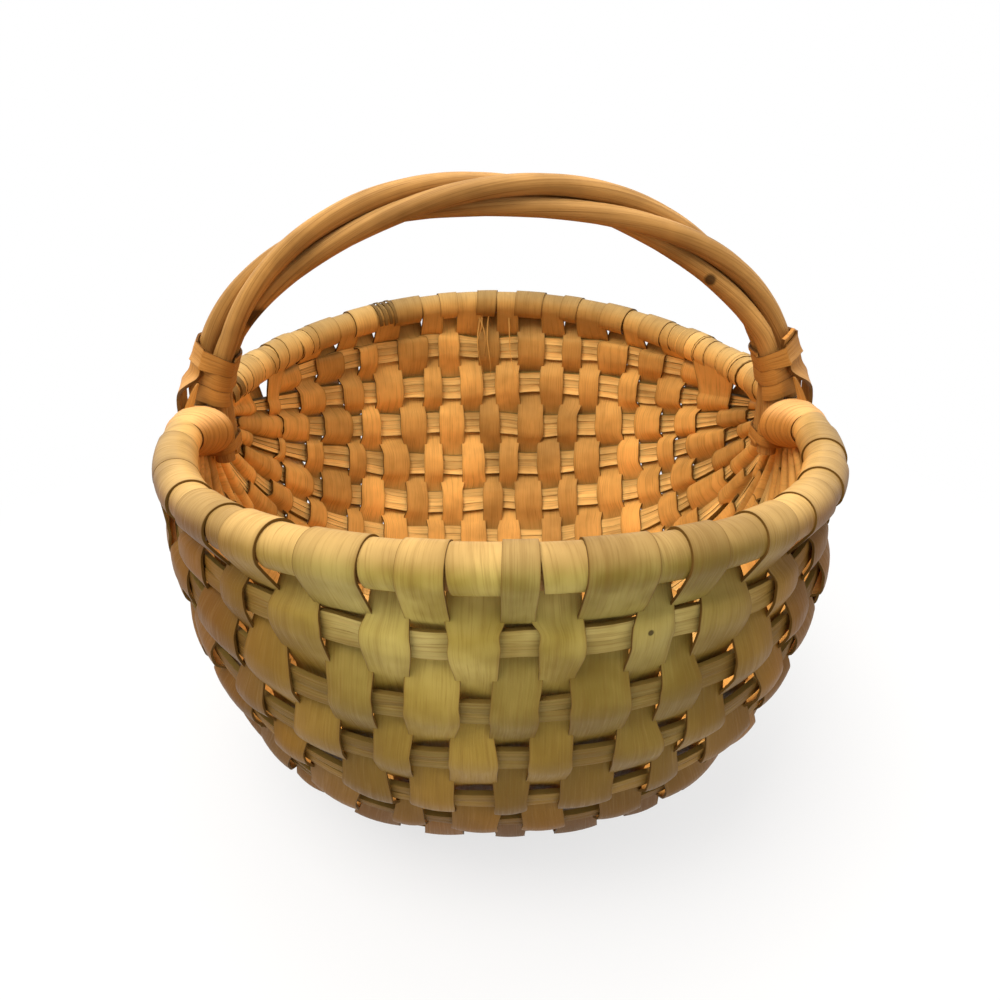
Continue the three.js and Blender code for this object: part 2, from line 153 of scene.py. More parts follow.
def spline(points: list[Vector], steps: int) -> list[Vector]:
    """Lay a smooth line through a row of points.

    Args:
        points: The points it goes through.
        steps: Count of steps between neighbouring points.

    Returns:
        The points of the smooth line.
    """
    out = []
    last = len(points) - 1
    for index in range(last):
        before, after = points[max(index - 1, 0)], points[min(index + 2, last)]
        start, end = points[index], points[index + 1]
        chord = end - start
        lead, trail = (
            way.normalized() * chord.length if way.length > 0 else chord
            for way in (end - before, after - start))
        for step in range(steps):
            t = step / steps
            out.append(
                start * (2 * t**3 - 3 * t**2 + 1) + lead * (t**3 - 2 * t**2 + t)
                + end * (3 * t**2 - 2 * t**3) + trail * (t**3 - t**2))
    out.append(points[last].copy())
    return out


def add_object(name: str, data: bpy.types.ID) -> bpy.types.Object:
    """Make an object of some data and put it in the scene.

    Args:
        name: The object's name.
        data: Its mesh, camera or light.

    Returns:
        The object.
    """
    item = bpy.data.objects.new(name, data)
    bpy.context.scene.collection.objects.link(item)
    return item


class Wander:
    """A slow random drift along a length, between about -1 and 1."""

    spacing: Span = (0.6, 1.4)
    gain: float = 1.4

    def __init__(self, seed: str, waves: int, slowest: float) -> None:
        """Draw the waves.

        Args:
            seed: Words that fix the draw.
            waves: Count of sine waves added up.
            slowest: Waves per unit length of the slowest one.
        """
        draw = random.Random(seed)
        self.waves = [
            (slowest * (index + draw.uniform(*self.spacing)), draw.uniform(0, math.tau), 1 / (index + 1))
            for index in range(waves)
        ]
        self.total = sum(weight for _, _, weight in self.waves)

    def at(self, place: float) -> float:
        """Return the drift at a place along the length."""
        waves = (weight * math.sin(math.tau * rate * place + start) for rate, start, weight in self.waves)
        return sum(waves) / self.total * self.gain


class ArcTable:
    """Lengths along a curve, for finding the parameter at a given length."""

    def __init__(self, curve: Callable[[float], Vector], samples: int = 800) -> None:
        """Measure the curve.

        Args:
            curve: Point of the curve for a parameter from 0 to 1.
            samples: Count of chords.
        """
        self.samples = samples
        self.lengths = [0.0]
        before = curve(0.0)
        for index in range(1, samples + 1):
            here = curve(index / samples)
            self.lengths.append(self.lengths[-1] + (here - before).length)
            before = here

    @property
    def total(self) -> float:
        """Return the whole length."""
        return self.lengths[-1]

    def parameter(self, length: float) -> float:
        """Find the place at a length.

        Args:
            length: Length from the curve's start.

        Returns:
            The curve's parameter there.
        """
        length = clamp(length, 0.0, self.total)
        index = clamp(bisect_left(self.lengths, length), 1, self.samples)
        low, high = self.lengths[index - 1], self.lengths[index]
        share = (length - low) / (high - low) if high > low else 0.0
        return (index - 1 + share) / self.samples


@dataclass
class BowlForm:
    """The basket's shape: rim, two-lobed bowl, ribs' rows and weavers' lines. Millimetres."""

    rim_half_width: float = 150.0
    rim_half_depth: float = 176.0
    rim_rise: float = 14.0
    rim_radius: float = 6.7
    rim_plan_power: float = 2.07
    ear_height: float = 177.0
    depth: float = 174.0
    round_depth: float = 201.0
    bottom_ease: float = 2.5
    keel_lift: float = 42.0
    lobe_spread: float = 0.28
    wall_power: float = 2.38
    body_plan_power: float = 2.35
    shoulder: float = 0.35
    rib_pairs: int = 10
    front_rib_width: float = 10.0
    back_rib_width: float = 15.0
    rib_thickness: float = 3.0
    rib_fill: float = 0.6
    rib_tip_width: float = 3.6
    keel_end_width: float = 7.0
    weaver_count: int = 27
    weaver_thickness: float = 1.2
    ear_widening: float = 1.5
    ear_gap: float = 30.0
    crest_margin: float = 0.6
    clearance: float = 0.3
    rib_wander: float = 0.075
    span_step: float = 0.05
    turn_step: float = 0.001
    # Heights and slopes over which the rim's top takes its painted highlight.
    sky_heights: Span = (-4.0, 6.0)
    sky_slopes: Span = (0.1, 0.95)
    rim_arc: ArcTable = field(init=False, repr=False)
    gap_lines: list[float] = field(init=False, repr=False)
    rib_turns: list[float] = field(init=False, repr=False)
    rib_starts: list[int] = field(init=False, repr=False)
    rib_drifts: list[Wander] = field(init=False, repr=False)

    def __post_init__(self) -> None:
        """Work out the lines that the ribs and weavers follow."""
        ribs = range(self.rib_spaces + 1)
        middle = ArcTable(lambda turn: self.wall_point(0.0, turn))
        self.rib_drifts = [Wander(f"rib line {rib}", waves=4, slowest=1.5) for rib in ribs]
        self.rib_turns = [middle.parameter(middle.total * rib / self.rib_spaces) for rib in ribs]
        self.rim_arc = ArcTable(self.front_rim)
        self.gap_lines = [self.gap_line(index) for index in range(self.weaver_count + 1)]
        self.rib_starts = [self.rib_start(rib) for rib in ribs]

    @property
    def rib_spaces(self) -> int:
        """Return the count of spaces from rim to rim across the ribs."""
        return 2 * self.rib_pairs + 2

    @property
    def keel(self) -> int:
        """Return the number of the middle rib."""
        return self.rib_pairs + 1

    def flattened(self, depth: float) -> float:
        """Return a depth eased into the flat that the basket rests on."""
        past = clamp((depth - self.depth + self.bottom_ease) / (2 * self.bottom_ease))
        return min(depth, self.depth + self.bottom_ease) - self.bottom_ease * past**2

    def wall_point(self, x: float, turn: float) -> Vector:
        """Find a point of the wall's middle.

        Args:
            x: Place along the handle's span.
            turn: 0 at the front rim, one half at the keel and 1 at the back rim.

        Returns:
            The point, in millimetres above the ground.
        """
        share = min(abs(x) / self.rim_half_width, 1.0)
        across = signed_power(math.cos(math.pi * turn), 2 / self.wall_power)
        down = abs(math.sin(math.pi * turn)) ** (2 / self.wall_power)
        power = lerp(self.rim_plan_power, self.body_plan_power, smooth(down, 0.0, self.shoulder))
        reach = (1 - share**power) ** (1 / power)
        crease = self.keel_lift * math.exp(-((across / self.lobe_spread) ** 2))
        rise = self.rim_rise * (1 - share**2) * (1 - down)
        depth = self.flattened((self.round_depth - crease) * reach * down - rise)
        return Vector((x, -self.rim_half_depth * reach * across, self.ear_height - depth))

    def to_rim(self, x: float, turn: float) -> float:
        """Return the distance from a point of the wall to the nearer half of the rim."""
        point = self.wall_point(x, turn)
        return min((point - self.wall_point(x, end)).length for end in (0.0, 1.0))

    def front_rim(self, share: float) -> Vector:
        """Return a point of the front rim, from the left ear at 0 to the right ear at 1."""
        x = -self.rim_half_width * signed_power(math.cos(math.pi * share), 2 / self.rim_plan_power)
        return self.wall_point(x, 0.0)

    def rim_x(self, arc: float) -> float:
        """Return the place along the span at a length along the front rim from the left ear."""
        return self.front_rim(self.rim_arc.parameter(arc)).x

    def gap_line(self, index: int) -> float:
        """Find the line between two neighbouring weavers.

        Args:
            index: The line's number from the left ear.

        Returns:
            Its place along the span.
        """
        half = self.rim_arc.total / 2 - self.ear_gap
        share = 2 * index / self.weaver_count
        near = min(share, 2 - share)
        widening = self.ear_widening
        grown = (2 * widening * near + (1 - widening) * near**2) / (1 + widening)
        from_ear = self.ear_gap + half * grown
        return self.rim_x(from_ear if share <= 1 else self.rim_arc.total - from_ear)

    def wall_frame(self, x: float, turn: float) -> Axes:
        """Find the wall's directions at a place.

        Args:
            x: Place along the span.
            turn: Place from the front rim at 0 to the back rim at 1.

        Returns:
            The wall point, the direction across the ribs and the outward normal.
        """
        step, spread = self.span_step, self.turn_step
        across = (self.wall_point(x, turn + spread) - self.wall_point(x, turn - spread)).normalized()
        along = self.wall_point(x + step, turn) - self.wall_point(x - step, turn)
        return self.wall_point(x, turn), across, across.cross(along).normalized()

    def rib_frame(self, x: float, rib: int) -> Axes:
        """Find the wall's directions on a rib's own line, which wanders a little except on the keel.

        Args:
            x: Place along the span.
            rib: The rib's number.

        Returns:
            The wall point, the direction across the ribs and the outward normal.
        """
        turn = self.rib_turns[rib]
        if rib != self.keel:
            spread = (self.rib_turns[rib + 1] - self.rib_turns[rib - 1]) / 2
            share = x / (2 * self.rim_half_width) + 0.5
            turn += self.rib_wander * spread * self.rib_drifts[rib].at(share)
        return self.wall_frame(x, turn)

    def rim_frame(self, x: float, half: Half) -> Axes:
        """Find the rim's directions at a place.

        Args:
            x: Place along the span.
            half: Front or back rim.

        Returns:
            A point of the rim's middle, the outward direction and the upward one, square to the rim.
        """
        limit = self.rim_half_width
        point = self.wall_point(x, 0.0)
        ahead = self.wall_point(min(x + self.span_step, limit), 0.0)
        tangent = (ahead - self.wall_point(max(x - self.span_step, -limit), 0.0)).normalized()
        up = upright(tangent)
        outward = tangent.cross(up)
        if half is Half.BACK:
            for item in (point, up, outward):
                item.y = -item.y
        return point, outward, up

    def rib_size(self, x: float, rib: int) -> Span:
        """Find a rib's size.

        Args:
            x: Place along the span.
            rib: The rib's number.

        Returns:
            Its width and thickness there.
        """
        before, after = (self.wall_point(x, self.rib_turns[rib + shift]) for shift in (-1, 1))
        full = self.back_rib_width if rib > self.keel else self.front_rib_width
        width = min(full, self.rib_fill * (after - before).length / 2)
        if rib == self.keel:
            width = max(width, self.keel_end_width)
        return width, self.rib_thickness * math.sqrt(min(width / full, 1.0))

    def rib_start(self, rib: int) -> int:
        """Find where a rib begins.

        Args:
            rib: The rib's number, or that of the rim's front or back.

        Returns:
            The first gap line that it reaches, counted from either ear.
        """
        if rib in (0, self.keel, self.rib_spaces):
            return 0
        wrap_reach = self.rim_radius + self.clearance + self.weaver_thickness
        for line, x in enumerate(self.gap_lines):
            width, _ = self.rib_size(x, rib)
            room = wrap_reach + width / 2 + self.crest_margin + self.clearance
            if width >= self.rib_tip_width and self.to_rim(x, self.rib_turns[rib]) > room:
                return line
        return self.weaver_count

    def crosses(self, rib: int, weaver: int) -> bool:
        """Return whether a rib lies under a weaver."""
        start = self.rib_starts[rib]
        return start <= weaver and weaver + 1 <= self.weaver_count - start

    def outward(self, place: Vector) -> Vector:
        """Find the direction from the basket's inside to its outside.

        Args:
            place: A place in millimetres.

        Returns:
            The direction there.
        """
        scaled = Vector((
            place.x / self.rim_half_width**2,
            place.y / self.rim_half_depth**2,
            min(place.z - self.ear_height, 0.0) / self.round_depth**2,
        ))
        return scaled.normalized() if scaled.length > 0 else -UP

    def sky(self, place: Vector, normal: Vector) -> float:
        """Return how far a face on the rim looks up, from 0 to 1, which places the painted highlight on
        the rim's top.
        """
        low, high = (self.ear_height + height for height in self.sky_heights)
        return smooth(place.z, low, high) * smooth(normal.z, *self.sky_slopes)


class Number:
    """A number in a material that takes part in Python arithmetic."""

    def __init__(self, graph: "Graph", socket: bpy.types.NodeSocket) -> None:
        """Keep the socket and the graph that its Math nodes go into."""
        self.graph = graph
        self.socket = socket

    def _math(self, operation: str, first: object, second: object, clamped: bool = False) -> "Number":
        """Add a Math node.

        Args:
            operation: The node's operation.
            first: First number or value.
            second: Second number or value.
            clamped: Whether the result is kept between 0 and 1.

        Returns:
            The result as a number.
        """
        settings = {"operation": operation, "use_clamp": clamped}
        return self.graph.number(self.graph.node("ShaderNodeMath", settings, {0: first, 1: second}))

    def __add__(self, other: object) -> "Number":
        """Return the sum."""
        return self._math("ADD", self, other)

    __radd__ = __add__

    def __sub__(self, other: object) -> "Number":
        """Return the difference."""
        return self._math("SUBTRACT", self, other)

    def __rsub__(self, other: object) -> "Number":
        """Return the difference the other way round."""
        return self._math("SUBTRACT", other, self)

    def __mul__(self, other: object) -> "Number":
        """Return the product."""
        return self._math("MULTIPLY", self, other)

    __rmul__ = __mul__

    def __abs__(self) -> "Number":
        """Return the size without its sign."""
        return self._math("ABSOLUTE", self, 0.0)

    def between(self, low: float, high: float) -> "Number":
        """Return 0 at low and 1 at high, kept between the two."""
        scale = 1 / (high - low)
        return self._math("ADD", self * scale, -low * scale, clamped=True)


class Graph:
    """The node tree of one material or of the world."""

    def __init__(self, owner: bpy.types.Material | bpy.types.World, output: str) -> None:
        """Start a tree with only an output.

        Args:
            owner: The material or world that the tree belongs to.
            output: Type of its output node.
        """
        owner.use_nodes = True
        self.tree = owner.node_tree
        self.tree.nodes.clear()
        self.output = self.node(output, {}, {})

    def node(self, kind: str, settings: dict[str, object], inputs: Inputs) -> bpy.types.Node:
        """Add a node.

        Args:
            kind: The node's type.
            settings: Its settings, set first.
            inputs: Values, numbers or sockets for its inputs, by name or place.

        Returns:
            The node.
        """
        node = self.tree.nodes.new(kind)
        for key, value in settings.items():
            setattr(node, key, value)
        for key, value in inputs.items():
            source = value.socket if isinstance(value, Number) else value
            if isinstance(source, bpy.types.NodeSocket):
                self.tree.links.new(source, node.inputs[key])
            else:
                node.inputs[key].default_value = source
        return node

    def number(self, node: bpy.types.Node, output: object = 0) -> Number:
        """Return a node's output as a number."""
        return Number(self, node.outputs[output])

    def attribute(self, name: str) -> Number:
        """Return a piece's own attribute as a number."""
        return self.number(self.node("ShaderNodeAttribute", {"attribute_name": name}, {}), "Fac")

    def noise(self, place: bpy.types.NodeSocket, scale: Place, detail: float,
              rough: float = 0.55) -> Number:
        """Add a noise pattern.

        Args:
            place: Coordinates of the pattern.
            scale: Its scale along each of the coordinates.
            detail: Count of finer layers.
            rough: Strength of the finer layers.

        Returns:
            The pattern, about one half in the mean.
        """
        mapping = self.node("ShaderNodeMapping", {}, {"Vector": place, "Scale": scale})
        pattern = self.node("ShaderNodeTexNoise", {}, {
            "Vector": mapping.outputs[0], "Scale": 1.0, "Detail": detail, "Roughness": rough})
        return self.number(pattern)

    def mix(self, share: object, first: object, second: object) -> bpy.types.NodeSocket:
        """Mix two colours.

        Args:
            share: How much of the second.
            first: First colour.
            second: Second colour.

        Returns:
            The mixed colour's socket.
        """
        first, second = ((*item, 1.0) if isinstance(item, tuple) else item for item in (first, second))
        inputs = {MIX_SHARE: share, MIX_FIRST: first, MIX_SECOND: second}
        return self.node("ShaderNodeMix", {"data_type": "RGBA"}, inputs).outputs[MIX_RESULT]

    def scale(self, colour: bpy.types.NodeSocket, factor: Number) -> bpy.types.NodeSocket:
        """Return a colour made lighter or darker by a factor."""
        node = self.node("ShaderNodeVectorMath", {"operation": "SCALE"}, {0: colour, "Scale": factor})
        return node.outputs[0]

    def seen(self) -> Number:
        """Tell the rays that show the background from those that light a piece.

        Returns:
            1 for rays from the camera or by way of gloss and glass, and 0 for the others.
        """
        path = self.node("ShaderNodeLightPath", {}, {})
        camera, gloss, glass = (
            self.number(path, f"Is {word} Ray") for word in ("Camera", "Glossy", "Transmission"))
        return (camera + gloss + glass).between(0.0, 1.0)

    def surface(self, kind: str, inputs: Inputs) -> None:
        """Close the tree with a shader.

        Args:
            kind: The shader's type.
            inputs: The shader's inputs.
        """
        shader = self.node(kind, {}, inputs)
        self.tree.links.new(shader.outputs[0], self.output.inputs["Surface"])


@dataclass(frozen=True)
class Spot:
    """A dark place on the wood, such as a knot or a scrap of bark. Metres."""

    place: Place
    size: float
    core: float = 0.6
    depth: float = 0.85
    colour: Colour = (0.02, 0.008, 0.003)

    def darken(self, graph: Graph, wood: bpy.types.NodeSocket, place: bpy.types.NodeSocket,
               blotch: Number) -> bpy.types.NodeSocket:
        """Lay the spot on the wood.

        Args:
            graph: The material's graph.
            wood: The wood's colour.
            place: Object coordinates.
            blotch: Soft patches that make the spot's edge ragged.

        Returns:
            The colour with the spot.
        """
        far = graph.node("ShaderNodeVectorMath", {"operation": "DISTANCE"}, {0: place, 1: self.place})
        ragged = graph.number(far, "Value") + (blotch - 0.5) * self.size
        near = 1 - ragged.between(self.size * self.core, self.size)
        return graph.mix(near * self.depth, wood, self.colour)


@dataclass(frozen=True)
class WoodPattern:
    """Where the tones of the wood and its painted light and shade lie and how strong they are. Metres, and
    shares of one.
    """

    outside: Span = (-0.3, 0.5)
    # Heights over which the painted shade low on the outside fades out.
    low_shade_heights: Span = (0.045, 0.17)
    flank: Span = (0.05, 0.11)
    back: Span = (0.06, 0.14)
    back_heights: Span = (0.165, 0.185)
    # Heights, patch levels and strength of the painted highlight on the upper outside.
    highlight_heights: Span = (0.1, 0.18)
    highlight_levels: Span = (0.38, 0.62)
    highlight_share: float = 0.8
    rim_highlight_share: float = 0.9
    tone_step: float = 0.34
    painted_flank_light: float = 0.15
    patch_scale: float = 28.0
    patch_depth: float = 0.8
    stains: Span = (0.48, 0.72)
    stain_share: float = 0.25
    dark_fibres: Span = (0.5, 0.74)
    light_fibres: Span = (0.52, 0.74)
    light_share: float = 0.35
    bands: Span = (0.52, 0.7)
    band_share: float = 0.6
    band_width: float = 0.22
    band_run: float = 0.3
    edge_lanes: Span = (0.36, 0.5)
    wall_lanes: Span = (0.485, 0.5)
    fibre_relief: float = 0.7
    band_relief: float = 0.5
    relief_depth: float = 0.0006
    rough_step: float = 0.35
    gloss: float = 0.2
    gloss_tint: tuple[float, float, float, float] = (1.0, 0.72, 0.38, 1.0)


@dataclass(frozen=True)
class WoodFinish:
    """Bare wood whose fibres run along a piece, with one tone outside the basket and a brighter, warmer
    one inside that is partly the wood's own tone and partly painted light.
    """

    name: str
    # outer and inner: the wood's tones outside and inside; the inner one is brighter and warmer, partly as
    # painted light.
    outer: Colour
    inner: Colour
    # pale: painted highlight on the upper outside, in patches, away from the flanks.
    pale: Colour
    # crown: painted highlight on the rim's top, and also the colour of the light fibres in the grain.
    crown: Colour
    streak: Colour
    # low: painted shade on the outside low down and on the flanks; on the rods this colour is lighter than
    # their outer tone.
    low: Colour
    # wall: colour of the cut edges; dark on the splints and bindings as painted shade lines, paler on the
    # ribs.
    wall: Colour
    fibres: float
    run: float
    roughness: float
    relief: float
    streaks: float = 0.5
    # edge: darkening towards a strip's edges, partly wear and partly painted shade.
    edge: float = 0.28
    wall_share: float = 1.0
    back_shade: float = 0.3
    spots: tuple[Spot, ...] = ()
    pattern: WoodPattern = WoodPattern()

    def tone_by_place(self, graph: Graph, place: bpy.types.NodeSocket,
                      blotch: Number) -> bpy.types.NodeSocket:
        """Colour the wood by where it is on the basket and which way it looks, with painted light and
        shade: a warmly lit inside, painted shade low down, on the flanks and at the top of the back,
        painted highlights on the upper outside and the rim's top, and painted light on the inside flanks.

        Args:
            graph: The material's graph.
            place: Object coordinates.
            blotch: Soft patches.

        Returns:
            The colour.
        """
        look = self.pattern
        axes = graph.node("ShaderNodeSeparateXYZ", {}, {0: place})
        aside, back, height = (graph.number(axes, axis) for axis in range(3))
        outside = graph.attribute("facing").between(*look.outside)
        # Painted shade: outer faces turn to the low colour low down and on the flanks.
        lower = 1 - height.between(*look.low_shade_heights)
        beside = abs(aside).between(*look.flank)
        behind = back.between(*look.back) * height.between(*look.back_heights)
        away = 1 - (1 - lower) * (1 - beside)
        # Painted highlight: pale patches on the upper outside, away from the flanks.
        upper = height.between(*look.highlight_heights) * (1 - beside)
        painted_highlight = (1 - blotch).between(*look.highlight_levels)
        # Inside and outside tones: partly the wood's own tone, partly painted light, with the inside
        # painted warmly lit and the outside shaded.
        colour = graph.mix(outside, self.inner, self.outer)
        colour = graph.mix(upper * outside * painted_highlight * look.highlight_share, colour, self.pale)
        colour = graph.mix(away * outside, colour, self.low)
        # Painted highlight on the rim's top, where the faces look up.
        colour = graph.mix(graph.attribute("sky") * look.rim_highlight_share, colour, self.crown)
        level = graph.attribute("tone") * look.tone_step + 1.0
        level = level * (1 - behind * self.back_shade)
        # Painted light: inner faces on the flanks made brighter.
        level = level * (beside * (1 - outside) * look.painted_flank_light + 1.0)
        return graph.scale(colour, level * (1.0 + (0.5 - blotch) * look.patch_depth))

    def material(self) -> bpy.types.Material:
        """Make the finish.

        Returns:
            The material.
        """
        look = self.pattern
        material = bpy.data.materials.new(self.name)
        graph = Graph(material, "ShaderNodeOutputMaterial")
        uv = graph.node("ShaderNodeUVMap", {"uv_map": RUN}, {}).outputs[0]
        place = graph.node("ShaderNodeTexCoord", {}, {}).outputs["Object"]
        lanes = graph.node("ShaderNodeSeparateXYZ", {}, {0: uv})
        fibre = graph.noise(uv, (self.fibres, self.run, 1.0), detail=3.0, rough=0.6)
        band = graph.noise(uv, (self.fibres * look.band_width, self.run * look.band_run, 1.0), detail=2.0)
        blotch = graph.noise(place, (look.patch_scale,) * 3, detail=3.0)
        colour = self.tone_by_place(graph, place, blotch)
        colour = graph.mix(fibre.between(*look.dark_fibres) * self.streaks, colour, self.streak)
        light = (1 - fibre).between(*look.light_fibres) * (self.streaks * look.light_share)
        colour = graph.mix(light, colour, self.crown)
        dark = band.between(*look.bands) * (self.streaks * look.band_share)
        colour = graph.mix(dark, colour, self.streak)
        colour = graph.mix(blotch.between(*look.stains) * look.stain_share, colour, self.streak)
        aside = abs(graph.number(lanes) - 0.5)
        # Darker towards each strip's edges: partly wear, partly painted shade.
        border = aside.between(*look.edge_lanes)
        colour = graph.mix(border * border * self.edge, colour, self.streak)
        for spot in self.spots:
            colour = spot.darken(graph, colour, place, blotch)
        # The cut edges take the wall colour: painted shade lines on the splints and bindings, a paler tone
        # on the ribs.
        colour = graph.mix(aside.between(*look.wall_lanes) * self.wall_share, colour, self.wall)
        bump = graph.node("ShaderNodeBump", {}, {
            "Strength": self.relief, "Distance": look.relief_depth,
            "Height": fibre * look.fibre_relief + band * look.band_relief})
        graph.surface("ShaderNodeBsdfPrincipled", {
            "Base Color": colour, "Roughness": (fibre - 0.5) * look.rough_step + self.roughness,
            "Normal": bump.outputs[0], "Specular IOR Level": look.gloss, "Specular Tint": look.gloss_tint})
        return material


@dataclass
class Solid:
    """A length of wood built from a grid with rows along it and columns across it. Millimetres."""

    form: BowlForm
    tone: float

    def lay_grid(self, mesh: bmesh.types.BMesh, columns: int, line: list[Vector],
                 lanes: int = 1) -> list[bmesh.types.BMVert]:
        """Lay a flat grid whose vertices keep their row and column and whose UV map follows the length.

        Args:
            mesh: The mesh that takes it.
            columns: Count of faces across.
            line: Middle of each row.
            lanes: How often the UV map repeats across.

        Returns:
            The grid's vertices.
        """
        count = len(line) - 1
        run = mesh.loops.layers.uv[RUN]
        row_of, column_of = (mesh.verts.layers.int[name] for name in MARKS)
        verts = bmesh.ops.create_grid(mesh, x_segments=columns, y_segments=count, size=1.0)["verts"]
        lengths = [0.0]
        for before, after in zip(line, line[1:]):
            lengths.append(lengths[-1] + (after - before).length)
        for vert in verts:
            vert[column_of] = round((vert.co.x + 1) / 2 * columns)
            vert[row_of] = round((vert.co.y + 1) / 2 * count)
        for face in faces_of(verts):
            for loop in face.loops:
                along = lengths[loop.vert[row_of]] * RUN_PER_MM + self.tone
                loop[run].uv = (loop.vert[column_of] / columns * lanes, along)
        return verts

    def settle(self, mesh: bmesh.types.BMesh, vert: bmesh.types.BMVert, place: Vector,
               normal: Vector) -> None:
        """Put a vertex in its place and note which way it looks.

        Args:
            mesh: The vertex's mesh.
            vert: The vertex.
            place: Its place in millimetres.
            normal: The direction it looks.
        """
        # facing picks the inner or outer tone with its painted light; sky places the painted highlight on
        # the rim's top.
        values = (normal.dot(self.form.outward(place)), self.tone, self.form.sky(place, normal))
        for name, value in zip(LOOKS, values):
            vert[mesh.verts.layers.float[name]] = value
        vert.co = place * MM


@dataclass
class Strip(Solid):
    """A flat splint laid along a route, extruded to its thickness."""

    rows: Rows
    thickness: float

    def normals(self) -> Rows:
        """Find the way the strip looks.

        Returns:
            The normals of the rows' points.
        """
        last_row, last_column = len(self.rows) - 1, len(self.rows[0]) - 1
        out = []
        for row, points in enumerate(self.rows):
            before, after = self.rows[max(row - 1, 0)], self.rows[min(row + 1, last_row)]
            line = []
            for column in range(last_column + 1):
                ahead = after[column] - before[column]
                aside = points[min(column + 1, last_column)] - points[max(column - 1, 0)]
                normal = ahead.cross(aside)
                line.append(normal.normalized() if normal.length > LEAST_NORMAL else UP)
            out.append(line)
        return out

    def add_to(self, mesh: bmesh.types.BMesh) -> None:
        """Add the strip to a mesh.

        Args:
            mesh: The mesh that takes it.
        """
        columns = len(self.rows[0]) - 1
        normals = self.normals()
        row_of, column_of = (mesh.verts.layers.int[name] for name in MARKS)
        verts = self.lay_grid(mesh, columns, [row[columns // 2] for row in self.rows])
        raised = bmesh.ops.extrude_face_region(mesh, geom=faces_of(verts), use_keep_orig=True)["geom"]
        upper = [item for item in raised if isinstance(item, bmesh.types.BMVert)]
        for side, layer in ((-1, verts), (1, upper)):
            for vert in layer:
                row, column = vert[row_of], vert[column_of]
                normal = normals[row][column] * side
                self.settle(mesh, vert, self.rows[row][column] + normal * (self.thickness / 2), normal)
        solid = faces_of([*verts, *upper])
        bmesh.ops.recalc_face_normals(mesh, faces=solid)
        # A tightly curled strip can come out of the recalculation inside out.
        if signed_volume(solid) < 0:
            bmesh.ops.reverse_faces(mesh, faces=solid)


@dataclass
class Rod(Solid):
    """A round rod along a line of sections, rolled up from its grid and closed."""

    sections: list[Section]
    ring: bool = False
    twist: float = 0.0
    sides: int = 14
    lanes: int = 3

    def add_to(self, mesh: bmesh.types.BMesh) -> None:
        """Add the rod to a mesh.

        Args:
            mesh: The mesh that takes it.
        """
        count = len(self.sections) - 1
        row_of, column_of = (mesh.verts.layers.int[name] for name in MARKS)
        verts = self.lay_grid(mesh, self.sides, [section[0] for section in self.sections], self.lanes)
        for vert in verts:
            centre, outward, up, radius = self.sections[vert[row_of]]
            angle = math.tau * vert[column_of] / self.sides + self.twist * vert[row_of] / count
            normal = outward * math.cos(angle) + up * math.sin(angle)
            self.settle(mesh, vert, centre + normal * radius, normal)
        bmesh.ops.remove_doubles(mesh, verts=verts, dist=MERGE_DISTANCE)
        if not self.ring:
            ends = [edge for edge in mesh.edges if edge.is_boundary]
            bmesh.ops.holes_fill(mesh, edges=ends, sides=0)
        bmesh.ops.recalc_face_normals(mesh, faces=list(mesh.faces))


class Piece:
    """One finished object made of strips and rods."""

    def __init__(self, name: str, slot: Slot, *nodes: str) -> None:
        """Start an empty mesh with the layers that the finishes read.

        Args:
            name: The piece's name.
            slot: The record's material slot that it belongs to, kept on the piece.
            nodes: The frame's nodes that it stands for.
        """
        self.name = name
        self.slot = slot
        self.nodes = nodes
        self.mesh = bmesh.new()
        self.mesh.loops.layers.uv.new(RUN)
        for layer in MARKS:
            self.mesh.verts.layers.int.new(layer)
        for layer in LOOKS:
            self.mesh.verts.layers.float.new(layer)

    def add(self, *solids: Strip | Rod) -> "Piece":
        """Add strips or rods.

        Args:
            solids: The strips and rods.

        Returns:
            The piece itself.
        """
        for solid in solids:
            solid.add_to(self.mesh)
        return self

    def order_faces(self) -> None:
        """Bring the faces into an order that is the same each time, by their first and last vertices."""
        count = len(self.mesh.verts)
        self.mesh.verts.index_update()

        def rank(face: bmesh.types.BMFace) -> int:
            """Return a face's rank."""
            numbers = [vert.index for vert in face.verts]
            return min(numbers) * count + max(numbers)

        self.mesh.faces.sort(key=rank)

    def finish(self, material: bpy.types.Material) -> None:
        """Make the object, put it on its body and hide the frame's parts that it stands for.

        Args:
            material: Its finish.
        """
        self.order_faces()
        data = bpy.data.meshes.new(self.name)
        self.mesh.to_mesh(data)
        self.mesh.free()
        for layer in MARKS:
            data.attributes.remove(data.attributes[layer])
        data.shade_smooth()
        data.set_sharp_from_angle(angle=SHARP_EDGE)
        data.materials.append(material)
        piece = add_object(self.name, data)
        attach(piece, BODY)
        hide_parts(*self.nodes)
        log.info("%s: %d faces", self.name, len(data.polygons))


